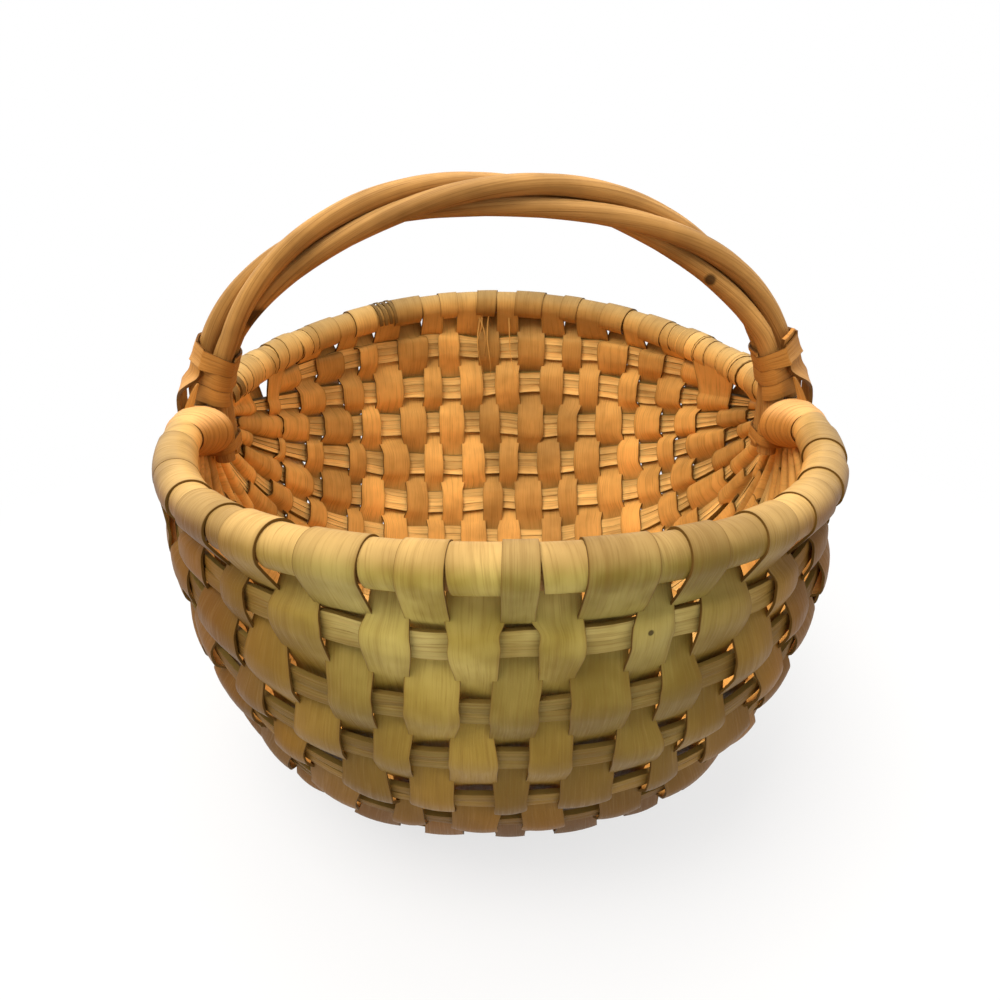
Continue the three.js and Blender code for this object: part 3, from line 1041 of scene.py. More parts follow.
@dataclass
class RimHoop:
    """The round rim rod, bent into a closed ring."""

    form: BowlForm
    finish: bpy.types.Material
    stations: int = 200
    turn_step: float = 0.01
    uneven: float = 0.02
    tone: float = 0.1
    drift: Wander = field(default_factory=lambda: Wander("rim rod", waves=5, slowest=3.0))

    def middle(self, angle: float) -> Vector:
        """Find the rod's middle.

        Args:
            angle: Angle round the rim.

        Returns:
            The point there.
        """
        form = self.form
        power = 2 / form.rim_plan_power
        x = form.rim_half_width * signed_power(math.cos(angle), power)
        y = form.rim_half_depth * signed_power(math.sin(angle), power)
        lift = form.rim_rise * (1 - (x / form.rim_half_width) ** 2)
        return Vector((x, y, form.ear_height + lift))

    def section(self, index: int) -> Section:
        """Cut the rod.

        Args:
            index: The section's number. The last one is the first again.

        Returns:
            Its middle, its two directions and its radius.
        """
        share = (index % self.stations) / self.stations
        angle = math.tau * share
        tangent = (self.middle(angle + self.turn_step) - self.middle(angle - self.turn_step)).normalized()
        up = upright(tangent)
        radius = self.form.rim_radius * (1 - self.uneven + self.uneven * self.drift.at(share))
        return self.middle(angle), tangent.cross(up), up, radius

    def build(self) -> None:
        """Make the rod."""
        sections = [self.section(index) for index in range(self.stations + 1)]
        rod = Rod(self.form, self.tone, sections, ring=True)
        Piece("rim_rod", Slot.RIM, "rim_hoop").add(rod).finish(self.finish)


@dataclass
class RibSet:
    """The ribs from ear to ear, each of a few thin splints laid side by side."""

    form: BowlForm
    finish: bpy.types.Material
    rows_per_gap: int = 3
    columns: int = 4
    splint_width: float = 5.0
    thinned: float = 0.75
    lap: float = 0.2
    seam_drift: float = 0.05
    rise: float = 0.35
    crown: float = 0.35
    tones: Span = (-0.9, 0.6)
    tongue_rows: int = 8

    def node(self, rib: int) -> str:
        """Name a rib.

        Args:
            rib: The rib's number.

        Returns:
            The frame's node.
        """
        if rib == self.form.keel:
            return "keel_rib"
        if rib < self.form.keel:
            return f"front_rib_{rib:02d}"
        return f"back_rib_{self.form.rib_spaces - rib:02d}"

    def places(self, rib: int) -> list[float]:
        """Find where a rib's sections stand.

        Args:
            rib: The rib's number.

        Returns:
            The places along the span.
        """
        start = self.form.rib_starts[rib]
        lines = self.form.gap_lines[start:len(self.form.gap_lines) - start]
        out = []
        for left, right in zip(lines, lines[1:]):
            out += [lerp(left, right, step / self.rows_per_gap) for step in range(self.rows_per_gap)]
        return out + [lines[-1]]

    def splint(self, rib: int, lane: int, lanes: int) -> Strip:
        """Lay one of the splints of a rib.

        Args:
            rib: The rib's number.
            lane: The splint's place across the rib.
            lanes: Count of splints in the rib.

        Returns:
            The splint.
        """
        form = self.form
        node = self.node(rib)
        name = f"{node} {lane}"
        seams = [Wander(f"{node} seam {lane + side}", waves=5, slowest=3.0) for side in (0, 1)]
        wave = Wander(f"{name} rise", waves=5, slowest=4.0)
        places = self.places(rib)
        rows = []
        for index, x in enumerate(places):
            share = index / (len(places) - 1)
            point, across, normal = form.rib_frame(x, rib)
            width, _ = form.rib_size(x, rib)
            left, right = (
                width * ((lane + side) / lanes - 0.5 + self.seam_drift * seams[side].at(share))
                for side in (0, 1))
            lift = self.rise * wave.at(share)
            crown = self.crown * min(width / form.front_rib_width, 1.0)
            row = []
            for column in range(self.columns + 1):
                aside = lerp(left - self.lap, right + self.lap, column / self.columns)
                height = lift + crown * math.sin(math.pi * column / self.columns)
                row.append(point + across * aside + normal * height)
            rows.append(row)
        _, thickness = form.rib_size(0.0, rib)
        return Strip(form, random.Random(name).uniform(*self.tones), rows, thickness * self.thinned)

    def tongue(self, ear: Ear) -> Strip:
        """Lay the keel's end up to the underside of the rim.

        Args:
            ear: The ear that it stands at.

        Returns:
            The end.
        """
        form = self.form
        x = form.gap_lines[0] if ear is Ear.LEFT else form.gap_lines[-1]
        low = form.wall_point(x, form.rib_turns[form.keel])
        under_rim = form.ear_height - form.rim_radius - form.clearance
        top = Vector((ear.value * form.rim_half_width, 0, under_rim))
        half = Vector((0, form.keel_end_width / 2, 0))
        rows = [
            [low.lerp(top, step / self.tongue_rows) + half * side for side in (-1, 0, 1)]
            for step in range(self.tongue_rows + 1)]
        return Strip(form, 0.0, rows, form.rib_thickness * self.thinned)

    def build(self) -> None:
        """Make every rib."""
        for rib in range(1, self.form.rib_spaces):
            node = self.node(rib)
            width, _ = self.form.rib_size(0.0, rib)
            lanes = round(width / self.splint_width)
            piece = Piece(f"{node}_splints", Slot.RIB, node)
            piece.add(*(self.splint(rib, lane, lanes) for lane in range(lanes)))
            if rib == self.form.keel:
                piece.add(self.tongue(Ear.LEFT), self.tongue(Ear.RIGHT))
            piece.finish(self.finish)


@dataclass
class WeaverSet:
    """The flat splints that go over and under the ribs and round the rim."""

    form: BowlForm
    finish: bpy.types.Material
    columns: int = 6
    smooth_steps: int = 3
    thinned: float = 0.85
    tones: Span = (-0.6, 0.8)
    berth: float = 16.6
    crest_fill: float = 1.17
    end_fill: float = 1.12
    cross_fill: float = 1.12
    wrap_fill: float = 1.1
    line_drift: float = 2.0
    line_shift: float = 2.3
    ear_reach: float = 2.0
    ear_fill: float = 1.2
    ear_filled: tuple[int, ...] = (1, 2)
    ear_ease: float = 0.8
    ear_margin: float = 0.5
    wrap_rows: int = 13
    wrap_turn: float = math.radians(22.5)
    wrap_tail: float = math.radians(66.0)
    wrap_lean: float = 1.3
    wrap_slants: tuple[Span, Span] = ((1.4, 3.8), (-3.4, -0.6))
    wrap_swells: tuple[Span, Span] = ((0.0, 0.5), (0.0, 0.4))
    wrap_step: float = 0.9
    tuck_depth: float = 0.5
    tuck_reach: float = 0.25
    leave: float = 0.62
    swell: float = 0.3
    swell_drift: float = 0.6
    swell_crown: float = 0.7
    crest_round: float = 0.6
    crest_shoulder: float = 0.8
    tilt: float = 0.8
    least_swell: float = -0.2
    flat_heights: Span = (12.0, 45.0)
    float_crown: float = 0.5
    frayed: tuple[tuple[int, int], ...] = ((0, 3), (8, 4))
    shred_reach: float = 0.9
    shred_width: float = 0.5
    shred_slant: Span = (-1.5, -0.4)
    shred_swell: Span = (1.7, 0.35)
    shred_tone: Span = (-2.0, 0.3)
    split: tuple[tuple[int, int], ...] = (
        (1, 3), (2, 3), (3, 2), (4, 2), (22, 2), (23, 2), (24, 3), (25, 3), (26, 3))
    lap_lanes: tuple[float, ...] = (0.1, 0.7, 1.3, 1.9)
    lap_slants: Span = (-2.5, 1.0)
    lap_swells: Span = (0.5, 1.0)
    lap_tones: Span = (-0.5, 0.6)
    lap_past: float = math.radians(40)
    trim_thickness: float = 0.6
    fibre_count: int = 5
    fibre_rows: int = 12
    fibre_starts: Span = (-12, 14)
    fibre_leans: Span = (-16, 16)
    fibre_falls: Span = (0.025, 0.075)
    fibre_top: float = 0.997
    fibre_sway: float = 2.5
    fibre_waves: float = 4
    fibre_inset: float = 5.0
    fibre_bow: float = 2.5
    fibre_half: float = 0.45
    fibre_taper: float = 1.2
    fibre_thickness: float = 0.4
    fibre_tone: float = 1.0
    lines: list[Wander] = field(init=False, repr=False)
    shifts: list[float] = field(init=False, repr=False)
    leans: list[Wander] = field(init=False, repr=False)
    bulges: list[Wander] = field(init=False, repr=False)

    def __post_init__(self) -> None:
        """Draw the drift of the lines between neighbouring weavers and the unevenness of the weavers."""
        count = self.form.weaver_count
        self.lines = [Wander(f"gap line {index}", waves=6, slowest=3.0) for index in range(count + 1)]
        self.shifts = [
            random.Random(f"gap shift {index}").uniform(-self.line_shift, self.line_shift)
            for index in range(count + 1)]
        self.leans, self.bulges = (
            [Wander(f"weaver {weaver} {word}", waves=4, slowest=3.0) for weaver in range(count)]
            for word in ("lean", "bulge"))

    def lane(self, weaver: int, share: float, u: float, fill: float) -> float:
        """Find a place across a weaver.

        Args:
            weaver: The weaver's number.
            share: Share of the way from the front rim to the back rim.
            u: Place across its width, from -1 to 1.
            fill: Its width as a share of the room between its neighbours.

        Returns:
            The place along the span.
        """
        if min(weaver, self.form.weaver_count - 1 - weaver) in self.ear_filled:
            fill *= self.ear_fill
        edges = []
        for line in (weaver, weaver + 1):
            drift = self.line_drift * self.lines[line].at(share) + self.shifts[line]
            if line in (0, self.form.weaver_count):
                drift = -self.ear_reach if line == 0 else self.ear_reach
            edges.append(self.form.gap_lines[line] + drift)
        return (edges[0] + edges[1]) / 2 + u * fill * (edges[1] - edges[0]) / 2

    def phase(self, weaver: int) -> int:
        """Return 1 where a weaver passes outside the rim and -1 where it passes inside."""
        return -1 if weaver % 2 == 0 else 1

    def side(self, weaver: int, rib: int) -> int:
        """Return 1 where a weaver passes outside a rib and -1 where it passes inside."""
        return self.phase(weaver) if rib % 2 == 0 else -self.phase(weaver)

    def crest(self, weaver: int, rib: int, x: float) -> float:
        """Find a weaver's distance from the wall's middle where it crosses a rib.

        Args:
            weaver: The weaver's number.
            rib: The rib's number.
            x: Place along the span.

        Returns:
            The distance, outward above zero.
        """
        form = self.form
        _, thickness = form.rib_size(x, rib)
        return self.side(weaver, rib) * (thickness / 2 + form.clearance + form.weaver_thickness / 2)

    def clear_of_rim(self, weaver: int, rib: int) -> bool:
        """Return whether a missing rib's place lies clear of the wrapped rim."""
        lines = self.form.gap_lines[weaver:weaver + 2]
        return all(self.form.to_rim(x, self.form.rib_turns[rib]) > self.berth for x in lines)

    def float_at(self, weaver: int, rib: int, x: float) -> float:
        """Find a weaver's distance from the wall's middle beside a missing rib.

        Args:
            weaver: The weaver's number.
            rib: The missing rib's number.
            x: Place along the span.

        Returns:
            The distance, outward above zero.
        """
        form = self.form
        crossed = [item for item in range(1, form.rib_spaces) if form.crosses(item, weaver)]
        last = max((item for item in crossed if item < rib), default=0)
        following = min((item for item in crossed if item > rib), default=form.rib_spaces)
        ends = []
        for item in (last, following):
            if item in (0, form.rib_spaces):
                ends.append(abs(self.crest(weaver, form.keel, x)) * self.side(weaver, item))
            else:
                ends.append(self.crest(weaver, item, x))
        return lerp(ends[0], ends[1], (rib - last) / (following - last))

    def short_of_ear(self, x: float) -> float:
        """Ease a place along the span so that it stays short of the rim's end.

        Args:
            x: The place.

        Returns:
            The eased place.
        """
        limit = self.form.rim_half_width - self.ear_margin
        past = abs(x) - limit + self.ear_ease
        if past <= 0:
            return x
        return math.copysign(limit - self.ear_ease * math.exp(-past / self.ear_ease), x)

    def wrap(self, weaver: int, x: float, half: Half, slant: float, swell: float,
             past: float = 0.0) -> list[Vector]:
        """Lay a weaver round the rim, from its tucked end to where it leaves for the wall.

        Args:
            weaver: The weaver's number.
            x: Place along the span.
            half: Front or back rim.
            slant: How far the wrap leans along the rim from its end to its start.
            swell: Extra radius of the wrap.
            past: How much further round the rim it goes before it ends.

        Returns:
            Points of the course.
        """
        form = self.form
        phase = self.phase(weaver)
        base = form.rim_radius + form.clearance + form.weaver_thickness / 2 + swell
        start, end = math.pi + self.wrap_tail, -self.wrap_turn - past
        out = []
        for step in range(self.wrap_rows + 1):
            share = step / self.wrap_rows
            angle = lerp(start, end, share)
            place = self.short_of_ear(x + slant * (1 - share) ** self.wrap_lean)
            point, outward, up = form.rim_frame(place, half)
            radius = base - self.tuck_depth * (1 - smooth(share, 0.0, self.tuck_reach))
            out.append(point + (outward * (phase * math.cos(angle)) + up * math.sin(angle)) * radius)
        return out

    def lapping(self, weaver: int) -> tuple[list[float], list[float]]:
        """Draw how a weaver's two ends lie on the rim.

        Args:
            weaver: The weaver's number.

        Returns:
            How far its front and back wraps lean, and their extra radius.
        """
        draw = random.Random(f"weaver {weaver}")
        step_up = self.wrap_step * (weaver % 2)
        slants = [draw.uniform(*span) for span in self.wrap_slants]
        swells = [draw.uniform(*span) + step_up for span in self.wrap_swells]
        return slants, swells

    def crossing(self, weaver: int, rib: int, u: float) -> list[Vector]:
        """Lay a weaver over or under a rib and on to the next.

        Args:
            weaver: The weaver's number.
            rib: The rib's number.
            u: Place across the weaver's width, from -1 to 1.

        Returns:
            Points of its course.
        """
        form = self.form
        share = rib / form.rib_spaces
        bulge = abs(self.bulges[weaver].at(share))
        swell = self.swell + self.swell_drift * bulge + self.swell_crown * (1 - u * u)
        tilt = self.tilt * u * self.leans[weaver].at(share)
        stations = (
            (-self.crest_shoulder, self.end_fill, 0.0),
            (0.0, self.crest_fill, self.crest_round),
            (self.crest_shoulder, self.end_fill, 0.0))
        out = []
        for shift, fill, rounding in stations:
            x = self.lane(weaver, share, u, fill)
            point, direction, normal = form.rib_frame(x, rib)
            width, _ = form.rib_size(x, rib)
            off_ground = smooth(point.z, *self.flat_heights)
            lift = max(off_ground * (swell + tilt + rounding), self.least_swell)
            offset = self.crest(weaver, rib, x) + self.side(weaver, rib) * lift
            out.append(point + direction * (shift * (width / 2 + form.crest_margin)) + normal * offset)
        if form.crosses(rib + 1, weaver) and rib + 1 < form.rib_spaces:
            x = self.lane(weaver, share + 0.5 / form.rib_spaces, u, self.cross_fill)
            out.append(form.wall_point(x, (form.rib_turns[rib] + form.rib_turns[rib + 1]) / 2))
        return out

    def floating(self, weaver: int, rib: int, u: float) -> Vector:
        """Lay a weaver past the place of a missing rib.

        Args:
            weaver: The weaver's number.
            rib: The missing rib's number.
            u: Place across the weaver's width, from -1 to 1.

        Returns:
            A point of its course.
        """
        x = self.lane(weaver, rib / self.form.rib_spaces, u, self.cross_fill)
        point, _, normal = self.form.wall_frame(x, self.form.rib_turns[rib])
        crown = self.float_crown * (1 - u * u) * self.phase(weaver)
        return point + normal * (self.float_at(weaver, rib, x) + crown)

    def course(self, weaver: int, u: float) -> list[Vector]:
        """Lay a weaver on one line along its length.

        Args:
            weaver: The weaver's number.
            u: Place across its width, from -1 to 1.

        Returns:
            Points from the front rim to the back rim.
        """
        form = self.form
        front, back = (
            self.wrap(weaver, self.lane(weaver, end, u, self.wrap_fill), half, slant, swell)
            for end, half, slant, swell in zip((0.0, 1.0), Half, *self.lapping(weaver)))
        leave = self.leave * form.rib_turns[1]
        wall = []
        if form.crosses(1, weaver):
            wall.append(form.wall_point(self.lane(weaver, 0.0, u, self.cross_fill), leave))
        for rib in range(1, form.rib_spaces):
            if form.crosses(rib, weaver):
                wall += self.crossing(weaver, rib, u)
            elif self.clear_of_rim(weaver, rib):
                wall.append(self.floating(weaver, rib, u))
        if form.crosses(form.rib_spaces - 1, weaver):
            wall.append(form.wall_point(self.lane(weaver, 1.0, u, self.cross_fill), 1 - leave))
        return spline([*front, *wall, *back[::-1]], self.smooth_steps)

    def shreds(self, weaver: int, count: int) -> list[Strip]:
        """Split dark shreds off a weaver where it laps round the back rim.

        Args:
            weaver: The weaver's number.
            count: Count of shreds.

        Returns:
            The shreds, side by side.
        """
        out = []
        for shred in range(count):
            left = 2 * self.shred_reach * shred / count - self.shred_reach
            slant = self.shred_slant[0] + self.shred_slant[1] * shred
            swell, tone = (base + step * (shred % 2) for base, step in (self.shred_swell, self.shred_tone))
            places = [left + step * self.shred_width / count for step in range(3)]
            lanes = [self.lane(weaver, 1.0, u, 1.0) for u in places]
            lines = [self.wrap(weaver, x, Half.BACK, slant, swell) for x in lanes]
            out.append(Strip(self.form, tone, rows_across(lines), self.trim_thickness))
        return out

    def laps(self, weaver: int, count: int) -> list[Strip]:
        """Split a weaver into narrow laps on the back rim near an ear.

        Args:
            weaver: The weaver's number.
            count: Count of laps.

        Returns:
            The laps, side by side.
        """
        slants, swells = self.lapping(weaver)
        out = []
        for lap in range(count):
            draw = random.Random(f"lap {weaver} {lap}")
            slant = slants[1] + draw.uniform(*self.lap_slants)
            swell = swells[1] + draw.uniform(*self.lap_swells)
            places = [(2 * lap + share) / count - 1 for share in self.lap_lanes]
            lanes = [self.lane(weaver, 1.0, u, 1.0) for u in places]
            lines = [self.wrap(weaver, x, Half.BACK, slant, swell, self.lap_past) for x in lanes]
            tone = draw.uniform(*self.lap_tones)
            out.append(Strip(self.form, tone, rows_across(lines), self.trim_thickness))
        return out

    def fibre(self, index: int) -> Strip:
        """Hang a loose fibre from the middle of the back rim inside the basket.

        Args:
            index: The fibre's number.

        Returns:
            The fibre.
        """
        draw = random.Random(f"loose fibre {index}")
        start, lean, fall = (
            draw.uniform(*span) for span in (self.fibre_starts, self.fibre_leans, self.fibre_falls))
        rows = []
        for step in range(self.fibre_rows + 1):
            share = step / self.fibre_rows
            x = start + lean * share + self.fibre_sway * math.sin(self.fibre_waves * share + index)
            point, _, normal = self.form.wall_frame(x, self.fibre_top - fall * share)
            middle = point - normal * (self.fibre_inset + self.fibre_bow * math.sin(math.pi * share))
            half = self.fibre_half * (self.fibre_taper - share)
            rows.append([middle + Vector((side * half, 0, 0)) for side in (-1, 0, 1)])
        return Strip(self.form, self.fibre_tone, rows, self.fibre_thickness)

    def build(self) -> None:
        """Make every weaver."""
        frayed, split = dict(self.frayed), dict(self.split)
        for weaver in range(self.form.weaver_count):
            name = f"weaver_{weaver + 1:02d}"
            places = [2 * column / self.columns - 1 for column in range(self.columns + 1)]
            lines = [self.course(weaver, u) for u in places]
            tone = random.Random(f"{name} tone").uniform(*self.tones)
            strip = Strip(self.form, tone, rows_across(lines), self.form.weaver_thickness * self.thinned)
            piece = Piece(f"{name}_splint", Slot.WEAVER, name).add(strip)
            piece.add(*self.shreds(weaver, frayed.get(weaver, 0)))
            piece.add(*self.laps(weaver, split.get(weaver, 0)))
            if weaver == self.form.weaver_count // 2:
                piece.add(*(self.fibre(index) for index in range(self.fibre_count)))
            piece.finish(self.finish)


@dataclass
class Handle:
    """The handle: three rods laid round each other, at each ear one on the rim and two inside it."""

    form: BowlForm
    finish: bpy.types.Material
    rise: float = 104.0
    rods: int = 3
    rod_diameter: float = 9.6
    twist_thirds: int = 3
    grip_start: float = 44.0
    foot_drop: float = 22.5
    facets: int = 8
    stations: int = 150
    share_step: float = 0.002
    girth: float = 0.985
    uneven: float = 0.035
    tone_step: float = 0.2
    arc: ArcTable = field(init=False, repr=False)

    def __post_init__(self) -> None:
        """Measure the arch."""
        self.arc = ArcTable(self.arch)

    @property
    def circle(self) -> float:
        """Return the distance of the rods' middles from the handle's middle line."""
        return (self.rod_diameter + self.form.clearance) / math.sqrt(3)

    @property
    def half_span(self) -> float:
        """Measure the handle's foot.

        Returns:
            Half the distance between the middles of the legs at the ears.
        """
        flat = math.cos(math.pi / self.facets)
        to_rods = (self.form.rim_radius + self.rod_diameter / 2) * flat + 2 * self.form.clearance
        return self.form.rim_half_width - to_rods + self.circle / 2

    @property
    def leg_start(self) -> float:
        """Return the height above the ear of the rim's top."""
        return self.form.rim_radius * math.cos(math.pi / self.facets) + self.form.clearance

    def arch(self, share: float) -> Vector:
        """Find a point of the middle line.

        Args:
            share: Place from the left ear at 0 to the right ear at 1.

        Returns:
            The point.
        """
        angle = math.pi * (1 - share)
        height = self.form.ear_height + self.rise * math.sin(angle)
        return Vector((self.half_span * math.cos(angle), 0.0, height))

    def frame_at(self, distance: float) -> tuple[Vector, Vector]:
        """Find the middle line's directions.

        Args:
            distance: Length from the left ear, below 0 or past the arch on the feet.

        Returns:
            The point there and the direction away from the arch's inside.
        """
        inside = clamp(distance, 0.0, self.arc.total)
        share = self.arc.parameter(inside)
        low, high = max(share - self.share_step, 0.0), min(share + self.share_step, 1.0)
        tangent = (self.arch(high) - self.arch(low)).normalized()
        if inside in (0.0, self.arc.total):
            tangent = Vector((0, 0, 1 if inside == 0.0 else -1))
        point = self.arch(share) + tangent * (distance - inside)
        return point, Vector((-tangent.z, 0, tangent.x))

    def offset(self, rod: int, distance: float) -> Span:
        """Find a rod's place beside the middle line.

        Args:
            rod: The rod's number.
            distance: Length from the left ear.

        Returns:
            How far it lies outward and backward.
        """
        grip = self.arc.total - 2 * self.grip_start
        share = clamp((distance - self.grip_start) / grip)
        angle = (rod + self.twist_thirds * share) * math.tau / self.rods
        return self.circle * math.cos(angle), self.circle * math.sin(angle)

    def place(self, distance: float, outward: float, backward: float) -> Vector:
        """Return a point beside the middle line."""
        point, away = self.frame_at(distance)
        return point + away * outward + Vector((0, backward, 0))

    def rod(self, index: int) -> Rod:
        """Lay one rod.

        Args:
            index: The rod's number. The first stands on the rim.

        Returns:
            The rod.
        """
        drift = Wander(f"handle rod {index}", waves=6, slowest=2.0)
        end = self.leg_start if index == 0 else -self.foot_drop
        sections = []
        for station in range(self.stations + 1):
            share = station / self.stations
            distance = lerp(end, self.arc.total - end, share)
            _, away = self.frame_at(distance)
            centre = self.place(distance, *self.offset(index, distance))
            radius = self.rod_diameter / 2 * (self.girth + self.uneven * drift.at(share))
            sections.append((centre, away, Vector((0, 1, 0)), radius))
        return Rod(self.form, self.tone_step * (index - 1), sections, twist=math.tau)

    def build(self) -> None:
        """Make the rods."""
        for index in range(self.rods):
            node = f"handle_rod_{index + 1:02d}"
            Piece(f"{node}_grown", Slot.HANDLE, node).add(self.rod(index)).finish(self.finish)


@dataclass
class EarBinding:
    """The strap on one leg of the handle, its windings and the wrapping of the rim in front of it."""

    form: BowlForm
    handle: Handle
    ear: Ear
    finish: bpy.types.Material
    thickness: float = 1.2
    thinned: float = 0.8
    gap: float = 0.7
    crown: float = 0.25
    strap_width: float = 12.0
    strap_thickness: float = 1.6
    strap_rows: int = 40
    strap_top: float = 33.0
    strap_turn: float = math.radians(48)
    strap_turning: Span = (8.0, 24.0)
    strap_lead: float = 4.0
    strap_dip: Span = (-1.5, 2.5)
    strap_curl: float = 0.0
    strap_curling: Span = (6.0, 14.0)
    strap_taper: float = 0.5
    strap_taper_start: float = 12.0
    strap_ragged: float = 0.06
    strap_bow: float = 0.4
    strap_tone: float = 0.5
    winding_steps: int = 40
    winding_drift: float = 0.12
    winding_spread: float = 0.5
    winding_trim: float = 0.4
    winding_end: Span = (-0.7, 0.3)
    winding_tone: float = 0.1
    leg_width: float = 8.0
    leg_turns: int = 3
    turns_under_strap: int = 2
    foot_width: float = 4.5
    foot_turns: int = 2
    wrap_width: float = 9.5
    wrap_turns: int = 3
    wrap_steps: int = 36
    wrap_pitch: float = 4.4
    wrap_start: float = 16.6
    wrap_angle: float = math.radians(250)
    wrap_lift: float = 0.6
    wrap_past: float = 2.0
    wrap_lean: float = 0.8
    wrap_slimming: float = 0.9
    wrap_slim_start: float = 13.0
    wrap_slim_past: float = 4.0
    wrap_bulk: Span = (6.0, 3.0)
    wrap_inset: Span = (5.0, 3.0)
    wrap_tone: float = 0.6
    sliver_rows: int = 8
    sliver_half: float = 2.2
    sliver_tip: float = 0.3
    sliver_point: float = 0.7
    sliver_outs: Span = (9.0, 4.0)
    sliver_heights: Span = (4.0, 20.0)
    sliver_forward: float = 14.6
    sliver_bow: float = 0.4
    sliver_thickness: float = 0.8
    sliver_tone: float = 0.5

    @property
    def label(self) -> str:
        """Return the ear's word for names."""
        return self.ear.name.lower()

    @property
    def top_turn(self) -> float:
        """Return the height above the ear at which the turn over the strap begins beside the strap."""
        turns = self.turns_under_strap + 0.5 - self.strap_turn / math.tau
        return self.handle.leg_start + self.form.clearance + (self.leg_width + self.gap) * turns

    def leg_place(self, distance: float, outward: float, backward: float) -> Vector:
        """Return a point beside this leg, by its height above the ear."""
        along = distance if self.ear is Ear.LEFT else self.handle.arc.total - distance
        return self.handle.place(along, outward, backward)

    def strap_angle(self, distance: float) -> float:
        """Return the direction that the strap's face looks, turned to the front above the rim."""
        return -self.strap_turn * smooth(distance, *self.strap_turning)

    def rods_reach(self, distance: float, angle: float) -> float:
        """Find the reach of the rods from the leg's middle line.

        Args:
            distance: Height above the ear.
            angle: Direction, from outward to backward.

        Returns:
            The reach.
        """
        offsets = [self.handle.offset(rod, distance) for rod in range(self.handle.rods)]
        far = max(outward * math.cos(angle) + backward * math.sin(angle) for outward, backward in offsets)
        return far + self.handle.rod_diameter / 2

    def strap_face(self, distance: float) -> float:
        """Find the strap's inner face.

        Args:
            distance: Height above the ear.

        Returns:
            Its distance from the leg's middle line.
        """
        form, handle, top = self.form, self.handle, self.top_turn
        at_rim = form.rim_half_width - handle.half_span + form.rim_radius + form.clearance
        on_rods = self.rods_reach(distance, self.strap_angle(distance)) + form.clearance
        on_turns = on_rods + self.thickness + form.clearance
        below = lerp(at_rim, on_turns, smooth(distance, handle.leg_start, top - self.strap_lead))
        held = lerp(below, on_rods, smooth(distance, *(top + past for past in self.strap_dip)))
        return held + self.strap_curl * smooth(distance, *(top + past for past in self.strap_curling))

    def strap_half(self, distance: float) -> float:
        """Return half the strap's width, which narrows towards its top."""
        narrowed = self.strap_taper * smooth(distance, self.strap_taper_start, self.strap_top)
        return self.strap_width / 2 * (1 - narrowed)

    def strap(self) -> Strip:
        """Lay the flat strap down the outside of the leg and the rim.

        Returns:
            The strap.
        """
        ragged = Wander(f"strap {self.label}", waves=6, slowest=3.0)
        rows = []
        for step in range(self.strap_rows + 1):
            share = step / self.strap_rows
            distance = lerp(-self.handle.foot_drop, self.strap_top, share)
            out = self.strap_face(distance) + self.strap_thickness / 2
            half = self.strap_half(distance) * (1 + self.strap_ragged * ragged.at(share))
            angle = self.strap_angle(distance)
            cosine, sine = math.cos(angle), math.sin(angle)
            row = []
            for side in ACROSS:
                far, aside = out - self.strap_bow * side * side, side * half
                outward, backward = far * cosine - aside * sine, far * sine + aside * cosine
                row.append(self.leg_place(distance, outward, backward))
            rows.append(row)
        return Strip(self.form, self.strap_tone, rows, self.strap_thickness)

    def reach(self, distance: float, angle: float, over_strap: bool) -> float:
        """Find the reach of what a winding binds from the leg's middle line.

        Args:
            distance: Height above the ear.
            angle: Direction, from outward to backward.
            over_strap: Whether the strap is bound too.

        Returns:
            The reach.
        """
        spans = [self.rods_reach(distance, angle)]
        if over_strap:
            face = self.strap_face(distance) + self.strap_thickness
            away = angle - self.strap_angle(distance)
            half = self.strap_half(distance)
            spans += [face * math.cos(away) + side * half * math.sin(away) for side in (-1, 1)]
        return max(spans) + self.form.clearance

    def hull_point(self, distance: float, angle: float, height: float, over_strap: bool) -> Vector:
        """Find a point of the taut line round the leg.

        Args:
            distance: Height above the ear.
            angle: Direction, from outward to backward.
            height: How far it lies off what it binds.
            over_strap: Whether the strap is bound too.

        Returns:
            The point.
        """
        step = math.tau / self.winding_steps
        near, far = (self.reach(distance, item, over_strap) + height for item in (angle, angle + step))
        outward = (near * math.sin(angle + step) - far * math.sin(angle)) / math.sin(step)
        backward = (far * math.cos(angle) - near * math.cos(angle + step)) / math.sin(step)
        return self.leg_place(distance, outward, backward)

    def winding(self, width: float, turns: int, rise: int, under: int) -> Strip:
        """Lay a flat splint round the leg in a helix.

        Args:
            width: Its width.
            turns: Count of turns.
            rise: 1 for upwards from the rim and -1 for downwards.
            under: Count of the first turns that lie under the strap.

        Returns:
            The winding.
        """
        steps = self.winding_steps
        pitch = width + self.gap
        first = self.handle.leg_start + self.form.clearance + width / 2
        drift = Wander(f"winding {self.label} {rise}", waves=5, slowest=2.0)
        end, end_spread = self.winding_end
        rows = []
        for step in range(turns * steps + 1):
            middle = rise * (first + pitch * step / steps)
            angle = math.pi + math.tau * step / steps
            trim = smooth(turns * steps - step, 0.0, self.winding_trim * steps)
            uneven = self.winding_drift * drift.at(step / steps)
            row = []
            for side in ACROSS:
                height = self.thickness * 0.5 + self.crown * (1 - side * side) + uneven
                shift = side * rise
                shift = lerp(end + end_spread * shift, shift, trim) * (width + self.winding_spread) / 2
                row.append(self.hull_point(middle + shift * rise, angle, height, step >= under * steps))
            rows.append(row)
        return Strip(self.form, self.winding_tone, rows, self.thickness * self.thinned)

